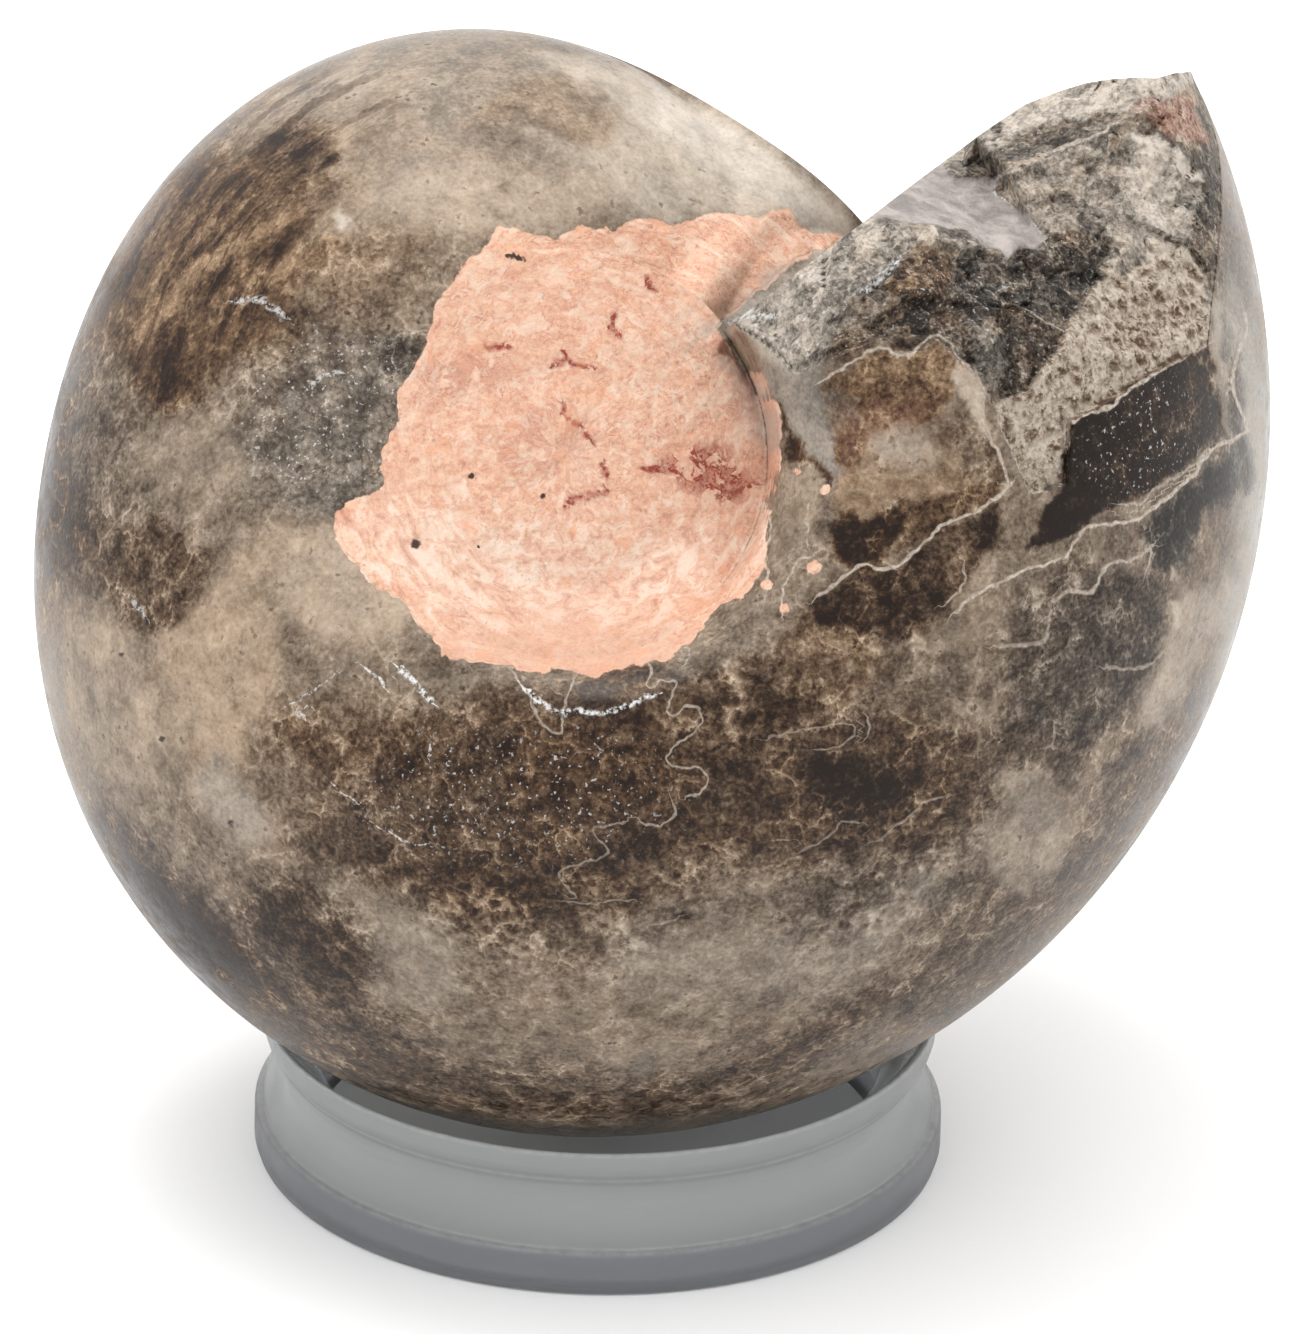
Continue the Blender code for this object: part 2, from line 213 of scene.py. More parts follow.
# Patches with a definite edge, later ones over earlier: (tone, warmth, softness of the edge, lift, outline).
AREAS = (
    # pale shoulder behind the break
    (0.88, -0.1, 1.3, 0, ((7, 27), (12, 25), (16, 22), (20.5, 18), (22, 15.5), (18, 16.5), (12, 20.5),
     (6, 24))),
    # brown growth bands of the upper left, with dark cores and ochre stripes between them
    (0.25, 1.1, 1.2, 0, ((-16.2, 23.2), (-17.2, 20.8), (-19.4, 17.6), (-21.8, 15.4), (-24, 12.6),
     (-23.4, 10), (-24, 6.8), (-26, 3.8), (-28.6, 3.2), (-30.4, 5.6), (-30.4, 9.2), (-28.8, 13),
     (-26.6, 16.4), (-23.8, 19.8), (-20.8, 23), (-18.2, 24.4))),
    (0.42, 0.8, 1.4, 0, ((-16.4, 15.6), (-12.8, 16.6), (-9.8, 15), (-9.8, 12.4), (-12, 9.6), (-15.8, 9),
     (-18.8, 11.4))),
    (0.2, 0.9, 0.5, 0, ((-19.8, 21.2), (-17.8, 22.2), (-15.6, 22.2), (-16, 21), (-17.8, 20), (-19.8, 19.6))),
    (0.09, 1.7, 1, 0, ((-27.2, 13.4), (-25.6, 14.4), (-23.2, 13.6), (-23.4, 12.2), (-25.8, 12))),
    (0.14, 1.2, 1, 0, ((-29.4, 9.2), (-27.6, 10.2), (-25.2, 9), (-25, 6.8), (-26.4, 4.8), (-27.8, 3.4),
     (-29, 5.6))),
    (0.38, 2.8, 0.4, 0, ((-27.6, 12.4), (-24.8, 14.8), (-21.4, 16.4), (-18.6, 17.6), (-18.2, 16.8),
     (-20.6, 15.6), (-23.8, 14), (-27, 11.6))),
    (0.38, 2.8, 0.4, 0, ((-23.8, 11.8), (-20.6, 13.8), (-16.4, 15.2), (-15.8, 14.4), (-19.6, 12.8),
     (-23.2, 11.4))),
    (0.34, 2.4, 0.4, 0, ((-30.4, 7.8), (-29.6, 10.8), (-27, 12), (-26.6, 11.2), (-28.6, 9.6), (-29.4, 6.4))),
    (0.81, -0.2, 0.3, 0, ((-16.4, 17), (-15.8, 17.4), (-14.8, 16.4), (-15.8, 16))),
    # left side: dark violet crystal beside the matrix, then the round dark spot and the tan streak
    (0.41, -0.3, 1.6, 0, ((-14.8, 7.8), (-11, 6.6), (-13, 1.2), (-13.4, -1.8), (-15.2, -4.4),
     (-18.6, -4.4), (-22.4, -1.6), (-24.2, 1.4), (-20.4, 2.2), (-17.8, 5.2), (-15.2, 6.6))),
    (0.2, -0.6, 0.6, 0, ((-13.4, 8), (-10.4, 8.4), (-10, 7), (-11.4, 5.2), (-13.2, 5.8))),
    (0.54, 0.3, 1.6, 0, ((-29.8, 1.8), (-26.8, 2.8), (-23, 2.2), (-22.4, -1.6), (-24.2, -3.8), (-28, -3),
     (-30.2, -1))),
    (0.66, 0.9, 2.2, 0, ((-28, -17.8), (-27.8, -15.2), (-26.2, -13.2), (-24.2, -11.8), (-23, -9.4),
     (-22.8, -7.6), (-21.6, -6.2), (-19.8, -5), (-20.2, -6.8), (-21.4, -9.4), (-22.8, -11.8),
     (-23.4, -14.2), (-24.2, -17), (-24.8, -18.8), (-27, -19.6))),
    (0.28, 0.6, 0.7, 0, ((-32.6, -7.2), (-31.6, -5), (-30, -4.8), (-28.4, -4), (-27.2, -5.2), (-27, -6.4),
     (-25.6, -6.6), (-25, -8), (-25.8, -9.6), (-27, -11.4), (-28.4, -12.2), (-29.6, -12.4),
     (-31.2, -11.8), (-32, -9.8))),
    # belly: brown shades under the matrix, paler and darker places below
    (0.19, 0.7, 2.2, 0, ((9, -16.5), (13, -15.5), (17, -17.6), (24, -18.6), (28, -20), (29, -24),
     (26, -28), (20, -28), (15, -28), (10, -26), (8, -21))),
    (0.18, 1.1, 1.6, 0, ((-4.4, -18), (-1.4, -19), (2.4, -18.6), (4.8, -18.4), (6.4, -19.2), (8.2, -22.6),
     (7.4, -25), (3.2, -25.8), (-1, -26.2), (-4.8, -25.8))),
    (0.24, 0.9, 2, 0, ((-20, -18.5), (-14, -19), (-9, -18), (-5, -17.5), (-5, -21), (-10, -23),
     (-17, -23), (-21, -20))),
    (0.16, 0.8, 2, 0, ((-9, -26), (-3, -27), (3, -28.5), (5, -31), (-2, -33), (-8, -33), (-12, -30))),
    (0.17, 0.4, 1.8, 0, ((-21, -30), (-18, -30.5), (-14.5, -33), (-13.5, -36.5), (-16, -39), (-20, -36),
     (-23, -32))),
    (0.48, 0.3, 1.6, 0, ((-4.6, -35.2), (1.4, -36.6), (7.6, -36.6), (12.8, -38.2), (11.2, -40),
     (3.8, -42), (-0.4, -42), (-4.4, -40.8))),
    (0.53, -0.1, 2, 0, ((4, -34), (10, -33), (18.6, -34.2), (24.4, -29.2), (27, -28.2), (24.6, -32.8),
     (20.6, -37.4), (14, -38.5), (6, -38), (2, -36.5))),
    (0.25, 0.4, 1.3, 0, ((-16, -40.5), (-9, -42.5), (-3.8, -43.8), (3.8, -45), (10, -43.4), (16, -40.8),
     (22, -37), (24, -37.5), (17, -43), (8, -46.5), (-1, -47), (-10, -45.5), (-16, -43))),
    (0.55, 0, 1, 0, ((29.4, -22.4), (33, -22), (35.6, -25.8), (35.4, -29), (31.8, -30.8), (29.4, -29.2),
     (31, -25.8))),
    (0.5, 0.4, 1.2, 0, ((24, -12.5), (27, -10.5), (30.5, -10), (30, -12.5), (27, -14.5), (24.5, -14.5))),
    (0.03, 0.7, 0.8, 0, ((16.8, -10.6), (19, -9), (21.5, -9), (24, -9.6), (26, -11.2), (23.5, -13),
     (19.5, -13), (17, -12.2))),
    # right side
    (0.25, -0.3, 1.2, 0, ((34, -10.4), (37, -9.6), (40.4, -8.6), (42, -9.2), (42, -12.6), (41.6, -14.6),
     (40.4, -17), (38.6, -19.2), (34.6, -20.6), (31.4, -19.2), (30.6, -16.4), (33.2, -13.6))),
    (0.46, 0.4, 0.8, 0, ((45.2, -4), (47.2, -3.2), (48.4, -3), (47.4, -6), (46.4, -9.2), (45, -9.8),
     (43.6, -9), (44.2, -7))),
    (0.64, 0.1, 0.8, 0, ((43.6, -9.4), (46.4, -9.2), (47, -7.4), (48.6, -9.6), (47.8, -11.6),
     (45.6, -13.2), (44, -16.2), (42.2, -19), (40.4, -19), (40.6, -17), (41.8, -14.8), (42.4, -12.8))),
    (0.1, -0.9, 0.7, 0, ((41.2, -4.2), (43.4, -2.4), (45.8, -0.6), (47.2, 0.2), (48.2, -1.6),
     (46.8, -3.2), (45.2, -4), (44.4, -5.8), (43.8, -7), (42.6, -8), (41.2, -8.2), (41, -6.6),
     (40.2, -5.8))),
    (0.2, -0.1, 0.4, 0, ((30.2, -15), (31.2, -13.8), (32.4, -14.8), (31.8, -15.8), (30.8, -15.8))),
    (0.72, 0, 0.25, 0, ((42.2, -7.8), (42.8, -8), (43.2, -8.8), (42.6, -9))),
    (0.74, 0, 0.3, 0, ((42.4, -10.4), (43.4, -10.8), (43.6, -12.2), (43, -12.4))),
    # belly
    (-0.06, 0.2, 1.5, 0, ((16.6, -23.2), (16.8, -21.8), (18.6, -21.6), (21.2, -22.6), (22.2, -22.8),
     (24, -22.8), (23.6, -24), (21.8, -24.6), (20.4, -25.8), (18.6, -25.8), (17.2, -24.6))),
    (0.11, 0.7, 0.5, 0, ((19.2, -8.8), (21.4, -8.8), (22.8, -8.2), (23.6, -7.4), (25.4, -5.8),
     (26.6, -5.4), (29.6, -4), (29.6, -6.8), (28, -7.6), (27.2, -9.6), (24.4, -11.6), (19.8, -12),
     (17.8, -11))),
    (0.32, 0.7, 0.5, 0, ((24, -7.2), (26, -6), (28.4, -6), (27.6, -8), (26, -9.4), (24.6, -9))),
    (0.14, 0, 0.15, -0.3, ((7, -32.6), (7.8, -31.8), (8.4, -32.4))),
    # open chamber beside the umbilicus
    (0.35, 1.8, 0.3, 0, ((18.8, 5.2), (20.8, 6.6), (22.8, 5.8), (23.6, 6.2), (24.6, 7.2), (25.6, 7.2),
     (26.2, 6), (26.4, 4.4), (26.2, 3.4), (25, 2.2), (24.6, 1.4), (22.8, 1.6), (20.8, 1.6), (19.8, 2.2),
     (19.6, 3.2), (18.6, 3.8), (17.2, 4.2), (17.8, 4.8))),
    (0.38, 0.5, 0.5, 0, ((26.6, 2.2), (28.4, 1.6), (29, 0), (29.6, -0.6), (29.6, -2.2), (28.4, -2.6),
     (27.2, -2), (26.8, -0.6), (26, 1))),
    (0.5, 1.1, 0.6, 0, ((18.6, -1.4), (20.6, -2), (22.8, -2.2), (25.6, -2.6), (26.8, -1.8), (26.2, -3.4),
     (24.2, -3.8), (22.2, -3.4), (21.4, -4), (20, -4.8), (18.6, -5.2), (18, -3.4))),
    (0.26, 1.1, 0.3, 0, ((22.4, -3.4), (24.2, -3.6), (26.2, -3.4), (27.4, -3), (28.8, -2.6), (29.6, -2.4),
     (29.6, -3.4), (27.8, -4.4), (26.2, -5.4), (24.2, -6.4), (22.6, -7.4), (22.8, -5.4))),
    (0, 1.7, 0.5, 0, ((18, -5.2), (19.2, -4.8), (20, -5.2), (21.4, -4.4), (22.6, -4.2), (22.8, -5.2),
     (22.2, -6.6), (21.2, -8.2), (19.2, -8.4), (18, -7.6))),
    (0.64, 0.3, 0.9, 0, ((19.6, 0), (21, 1), (23, 1.2), (25, 0.6), (25.4, -0.6), (23.6, -1.6), (21, -1.2))),
    (0.3, 1.7, 0.5, 0, ((17.8, 0.4), (18.8, 1.4), (20, 1.4), (20, 0.3), (19.4, -0.8), (19, -1.6),
     (18.4, -1))),
    # umbilical wall beside the matrix, with painted shadow in the narrow gap at the matrix's edge
    (0.61, -1.2, 0.4, 0, ((13.6, 5.8), (15, 6), (16.2, 5.6), (17, 4.4), (17, 3.4), (17.4, 1.6), (18, 0.2),
     (18.6, -1.8), (18, -2.6), (17.4, -1.8), (16.6, -0.8), (16, 0), (15, 1.2), (14.6, 2.8), (13.8, 3.8),
     (13.4, 4.6))),
    # painted shadow: the dark, slightly sunken strip in the gap between matrix and wall
    (0.09, 1, 0.3, -0.3, ((14.6, 2.8), (15, 1.2), (16, 0), (16.6, -0.8), (17.2, -1.8), (17.8, -2),
     (17.6, -2.8), (17, -2.4), (16.2, -1), (15.6, -1), (15.2, -0.4), (14.8, 0.8), (14.6, 2))),
    (0.53, 0.3, 0.5, 0, ((14.2, -1.8), (14.8, -1), (15.4, -1.8), (16.2, -1.2), (16.8, -2.2), (17.2, -3.2),
     (16.4, -4), (16.2, -6.8), (15.8, -7.4), (14.8, -7.2), (14.2, -8.2), (13.4, -8.6), (13.4, -7.2),
     (13.8, -5.2), (13.6, -4.2), (13.8, -2.8))),
    (0.5, 0.6, 0.3, -0.9, ((11.2, 7.8), (11.6, 8.4), (12.4, 8), (13, 6.6), (13.6, 5.8), (13.6, 4.4),
     (13.4, 4), (13, 5.2), (12.2, 6.4), (11.2, 7.2))),
    # broken whorl, from the crest down
    (0.5, 0.1, 0.3, 0, ((44.2, 14.6), (45.4, 10.6), (45.6, 8), (41.8, 5.8), (37.8, 3), (34.8, 1.8),
     (34.4, -2.4), (31.2, -3.4), (28.8, 0.6), (29.6, 3.2), (32.8, 5.4), (34.6, 8.4), (38.2, 12.8),
     (41, 14.8))),
    (0.79, -0.4, 0.25, 0.2, ((31, 25.5), (34, 27.5), (38, 29.5), (43, 31), (46, 31), (46.4, 28.4),
     (46, 27.2), (43.2, 25.8), (40, 24.6), (37.8, 24.2), (36, 24), (33.2, 23.4), (31.4, 22.6))),
    (0.7, -0.3, 0.25, 0.1, ((26.4, 19.6), (27, 22.5), (29, 23.8), (31, 22.8), (33.2, 23.2), (35.4, 23.8),
     (36.6, 23.8), (35, 22.8), (33.2, 22.2), (31.8, 21.6), (30.2, 20.8), (28.8, 20), (27.6, 19.8))),
    (0.62, -0.1, 0.3, 0.4, ((31.4, 18.8), (33.6, 20.4), (37.2, 22.2), (39.6, 23.6), (40.8, 22.4),
     (42.4, 21), (44.4, 19.2), (45.4, 18.2), (44.8, 16.4), (44, 14.6), (40.8, 14.8), (40, 13),
     (37.4, 12.4), (36.8, 14), (33.8, 14.8), (32.8, 16.4), (31.8, 17.6))),
    (0.6, 0, 0.8, 0, ((31.4, 20.2), (34, 21.8), (36.8, 21.6), (38.2, 19.8), (39, 18.6), (37.4, 15.6),
     (34.4, 14.4), (33, 16.4), (32.4, 18.6))),
    (0.54, 0.3, 0.5, 0, ((38.4, 22.8), (40.4, 23.2), (41.4, 21.2), (42.2, 19.8), (40.2, 19), (38.6, 20.2))),
    (0.45, 0.1, 0.3, 0, ((29.2, 20.2), (31, 21.2), (34.6, 21.8), (37.4, 22.8), (38.4, 23.8), (36.4, 24),
     (33.8, 23.4), (31, 22))),
    (0.81, -0.1, 0.8, 0, ((40.4, 22.8), (42.4, 21), (44.4, 19.2), (45.4, 18.2), (44.8, 16.4), (44, 14.6),
     (42, 13.4), (40.6, 14.8), (40, 17), (39.6, 20))),
    (1.02, -1, 0.25, 0, ((40.4, 22.8), (41.8, 23), (44.4, 21.2), (45.4, 19.8), (44, 19.8), (41.8, 21.6))),
    (0.63, 0.8, 0.3, 0, ((41, 24.8), (43.2, 25.6), (45.8, 26), (46, 24.2), (46.2, 22.4), (44.6, 21.8),
     (43, 22.8), (42, 23.8))),
    (0.66, 0, 0.4, 0.7, ((18.8, 15.6), (19.6, 15.4), (20, 14.6), (21.2, 15.6), (23.2, 16), (25.2, 15.8),
     (26.6, 15.4), (28.4, 14.8), (29.6, 13.8), (28.4, 13.6), (26.2, 14.2), (24.6, 14.2), (22.8, 13.6),
     (21.8, 12.4), (20.4, 10.8), (18.2, 10.4), (17, 10.4))),
    (0.22, -0.5, 0.3, -0.6, ((30.8, 13.4), (32, 14), (33.8, 14.2), (36.4, 14), (37.4, 12.8), (36.6, 11.6),
     (35.8, 9.8), (34.8, 8.8), (34.2, 8.6), (33, 9.2), (31.6, 10), (30, 10.4), (28.2, 10.2), (27.2, 10.8),
     (26.8, 11.8), (27, 12.6), (28.4, 13.6), (29.2, 13.8))),
    (0.25, 0.2, 0.3, -0.7, ((22.4, 10), (24.4, 10.6), (26.6, 10.2), (28.2, 10.2), (30, 10.2), (31.6, 9.8),
     (33, 9), (34.4, 8.4), (33.8, 6.8), (32.6, 5.4), (31.6, 4.2), (30.8, 3.6), (29.6, 3.4), (28.6, 5.2),
     (27.2, 6.4), (26.2, 7.6), (25.2, 7.6), (23.6, 6.6), (22.4, 6.4), (21.2, 7.2), (20.4, 8.4))),
    (0.27, 1.1, 0.3, 0.7, ((23.4, 13.6), (25.4, 14), (26.6, 13.4), (26.6, 11.8), (26.2, 11), (24.4, 10.6),
     (22.8, 10.6), (21.4, 11), (22.4, 12.4))),
    (0.2, 0, 0.5, 0, ((32, 13.5), (34, 15.4), (37.6, 15.6), (38.6, 14.4), (37.5, 12.8), (34, 12.5))),
    (0.24, 0.5, 0.5, 0, ((17.4, 6.4), (18.4, 7.8), (20.4, 8), (20.8, 6.8), (19.4, 5.8))),
    (0.52, -0.2, 0.5, 0, ((27.4, 9), (29.4, 8.6), (30, 6), (29.4, 4), (28.4, 4.6), (27.8, 6.4))),
    (0.72, 0.3, 0.15, 0.3, ((26.4, 6), (27.4, 5.4), (28.2, 4.6), (28.6, 2.4), (28.6, 0.8), (28, 1.4),
     (27.2, 2.8), (26.6, 3.8), (26.2, 4.8))),
    (0.38, 0.1, 0.4, 0, ((45.6, 19.4), (47.2, 19.6), (48, 16.8), (49, 13.8), (49.2, 10.4), (48.2, 8.2),
     (47.2, 6.2), (46.6, 9.4), (45.4, 11.8), (45, 14.6), (44.8, 16.8))),
    (0.65, -0.1, 0.25, 0.2, ((44, 14.6), (45.4, 13.4), (46.4, 10.4), (46.6, 7.2), (47.2, 4.2),
     (48.6, 2.4), (47.2, 1.2), (46.2, 3), (45.8, 6.2), (45.4, 8), (45.4, 10.6), (44.8, 13))),
    (-0.03, 0.2, 0.25, 0, ((34.8, 2), (37.8, 3.8), (41.6, 6), (44.8, 7.7), (45.4, 7.7), (45.8, 5.4),
     (46.4, 2.2), (45, 0.6), (43.4, -1), (40.2, -3), (36.6, -4.6), (33.4, -7), (31.8, -7), (32.6, -5),
     (34.2, -2.8), (34.6, -1))),
    # painted sheen: a pale grey strip along the right edge, where the white room reflects at a grazing angle
    (0.67, -1.4, 1.4, 0, ((47.4, 13), (49.6, 8), (51.5, 0), (51, -8), (48.5, -16), (46.6, -16),
     (48.2, -8), (48, -2), (48, 4), (46.6, 10))),
    (0.15, 0.2, 1.8, 0, ((42, 5), (45, 7), (45.8, 4), (46, 2.2), (44.6, 1), (42, 0.4), (40.5, 2))),
    (0.36, 0.2, 0.8, 0, ((38, 10.4), (41.2, 12), (44, 10.8), (44.4, 8.8), (41.6, 7.2), (38.8, 6.8),
     (37.4, 8.4))),
    (0.3, -0.2, 0.6, 0, ((46.6, 4.6), (48, 7.4), (48.2, 3.6), (49.6, -1), (48.6, -2.6), (47.4, 1.4))),
)
# Open, sponge-like crystal, and the smooth grey facet below the crest.
SPONGE = (
    (44.2, 14.6), (44.8, 13.4), (45.4, 10.6), (46.2, 9.2), (45.6, 8), (44, 7), (41.8, 5.8), (39.4, 4.6),
    (37.8, 3), (36.4, 2.2), (34.8, 1.8), (34.6, -0.2), (34.4, -1.6), (34.4, -2.6), (33.4, -2.4),
    (32.6, -3.2), (31.2, -3.4), (30.8, -2.4), (30, -1.6), (29.8, -0.4), (28.8, 0.6), (28.6, 2.4),
    (29.6, 3.2), (30.8, 3.6), (31.8, 4.2), (32.8, 5.4), (33.8, 6.6), (34.6, 8.4), (35.8, 9.8), (36.8, 11.4),
    (38.2, 12.8), (40, 13), (41, 14.8), (42.6, 15.2),
)
FACET = (
    (20.8, 16.2), (22, 19), (27, 22.5), (27.4, 20), (28.4, 19.8), (31, 19.8), (30.4, 18.8), (31.4, 17.8),
    (32.6, 16.8), (33.8, 15.2), (33, 14.4), (32, 14.2), (30.8, 13.6), (30, 14.2), (28.8, 14.6), (28, 15.6),
    (26.6, 15.6), (25, 15.8), (22, 16.2),
)
FACET_DEPTH = 0.7
# Outline of the peach matrix.
MATRIX_EDGE = (
    (-4.5, 15.7), (-8.5, 12), (-10.2, 7.5), (-12.8, 1.8), (-13.3, -2.2), (-16.6, -4.2), (-15.6, -7.4),
    (-12.2, -10.6), (-9.2, -14.2), (-4.5, -15.1), (2, -15.8), (6.5, -14.4), (10.4, -11.5), (13.2, -8),
    (13.6, -3.8), (14.6, -1), (14.8, 0.6), (14.6, 2.4), (13.8, 3.8), (13.2, 5), (12.2, 6.6), (11.2, 8),
    (10.8, 9.2), (13.5, 11.2), (16.5, 13.8), (19, 15.3), (20, 16.4), (15, 17.6), (9, 17), (4, 16.3),
    (0, 15.6),
)
# Peach beads left on the shell: (x, z, radius).
BEADS = ((15.6, -1.6, 0.25), (17.4, -3.0, 0.28), (16.6, -8.4, 0.5), (13.4, -9.6, 0.35), (14.6, -11.2, 0.35))
# Rusty, greyish and creamy places: (amount, softness, outline).
RUSTY = (
    (1, 0.8, ((6, -0.6), (7.6, 0), (8.6, 0.4), (9.8, 0.8), (11.4, -0.2), (12, -1.2), (14.2, -1.8),
     (12, -3.2), (10.2, -3), (8, -2.2), (6.2, -1.2))),
    (0.3, 1.6, ((-6, 0), (-3, 3), (1, 3), (2, 1), (0, -1), (-3, -2))),
    (0.4, 1, ((-10, 6.5), (-6, 7.5), (-3, 5.5), (-7, 4.2), (-11, 3.8))),
    (0.45, 0.8, ((11.5, 6.5), (13, 4.5), (14.2, 1), (12.8, 1), (11.5, 4))),
    # stains on the broken whorl and beside the umbilicus
    (0.8, 0.5, ((41, 24.8), (43.2, 25.6), (45.8, 26), (46, 24.2), (46.2, 22.4), (44.6, 21.8), (43, 22.8),
     (42, 23.8))),
    (0.25, 1.4, ((17.6, 0.6), (18.8, 2.2), (20.2, 2.6), (23, 3), (24.6, 2.4), (23.4, 1.4), (20.6, 0.8),
     (19.6, -0.6), (19, -2), (18, -1))),
)
RUST_LINES = (
    # the round crack in the middle
    ((-0.4, 3.6), (-0.2, 2.6), (0.9, 2), (1.7, 0.8), (2.4, -0.6), (2.8, -1.8), (2.7, -2.8), (1.6, -2.9),
     (0.5, -3.2), (-0.3, -3.8)),
    # short cracks above it
    ((-0.2, 7.4), (0, 6.6), (-1, 6.3)), ((0, 6.6), (1, 6.2), (2, 6)), ((3.4, 9.8), (3.1, 8.9), (3.9, 8.4)),
    ((-5.6, 7.4), (-4, 7.6)), ((5.4, 12.6), (6.3, 11.6)),
    # the deep red split at the right
    ((5.2, -1), (6.8, -1.1), (8.2, -1.3), (9.6, -2.2), (11.4, -2.8), (13.2, -2.2)),
    ((8.6, 0.6), (9, -0.6), (9.4, -2)), ((10, -2.3), (12, -2.8), (11.2, -3.2)),
    ((7.8, -0.2), (9.6, 0.2), (10.8, -0.6)),
)
RUST_LINE_WIDTH = 0.14
RUST_LINE_STRENGTH = 1.5
GREYISH = (
    (1, 0.8, ((7.8, 7.6), (10.4, 9.4), (11.4, 10.2), (17, 14.4), (15.8, 11.8), (12.6, 10.4), (10.6, 8.6),
     (8.4, 7.4))),
    (1, 0.8, ((11.2, 7.6), (12.6, 6.4), (13.6, 4.6), (14.6, 2.2), (14.8, 0.4), (13.8, 0.2), (13, 2.6),
     (11.8, 5), (10.6, 6.8))),
)
CREAMY = (
    (1, 2.4, ((-13, -3), (-15.5, -5), (-12, -9), (-8, -11.6), (2, -12.4), (9, -9.5), (13, -6), (12.5, -3.8),
     (6, -5), (-4, -5))),
)
# The matrix's lower edge darkened with painted shade, a little more orange: the heights it fades over, and
# how it rises to the sides.
LOW_SHADE_EDGE = (-8.5, -13.5)
LOW_SHADE_CURVE = 0.25
# Dark specks: (x, z, radius).
SPECKS = (
    (-31.2, -13.8, 0.2), (-28.4, -19.8, 0.24), (-23.6, -25.8, 0.26), (-33, -9.8, 0.2), (-10.8, -6.4, 0.36),
    (-6.8, -1.6, 0.24), (-1.8, -3, 0.2), (-6.4, -6.6, 0.16), (-4.1, 14, 0.16), (-3.7, 13.95, 0.24),
    (-3.3, 13.85, 0.26), (-2.9, 13.7, 0.18),
)
SPECK_FAR = 6.0
# Lines: steps from point to point, how far their mark is kept, and where they fade out.
LINE_STEPS = 4
LINE_FAR = 20.0
LINE_MARGIN = 2
LINE_FADE = (1.4, 0.7)
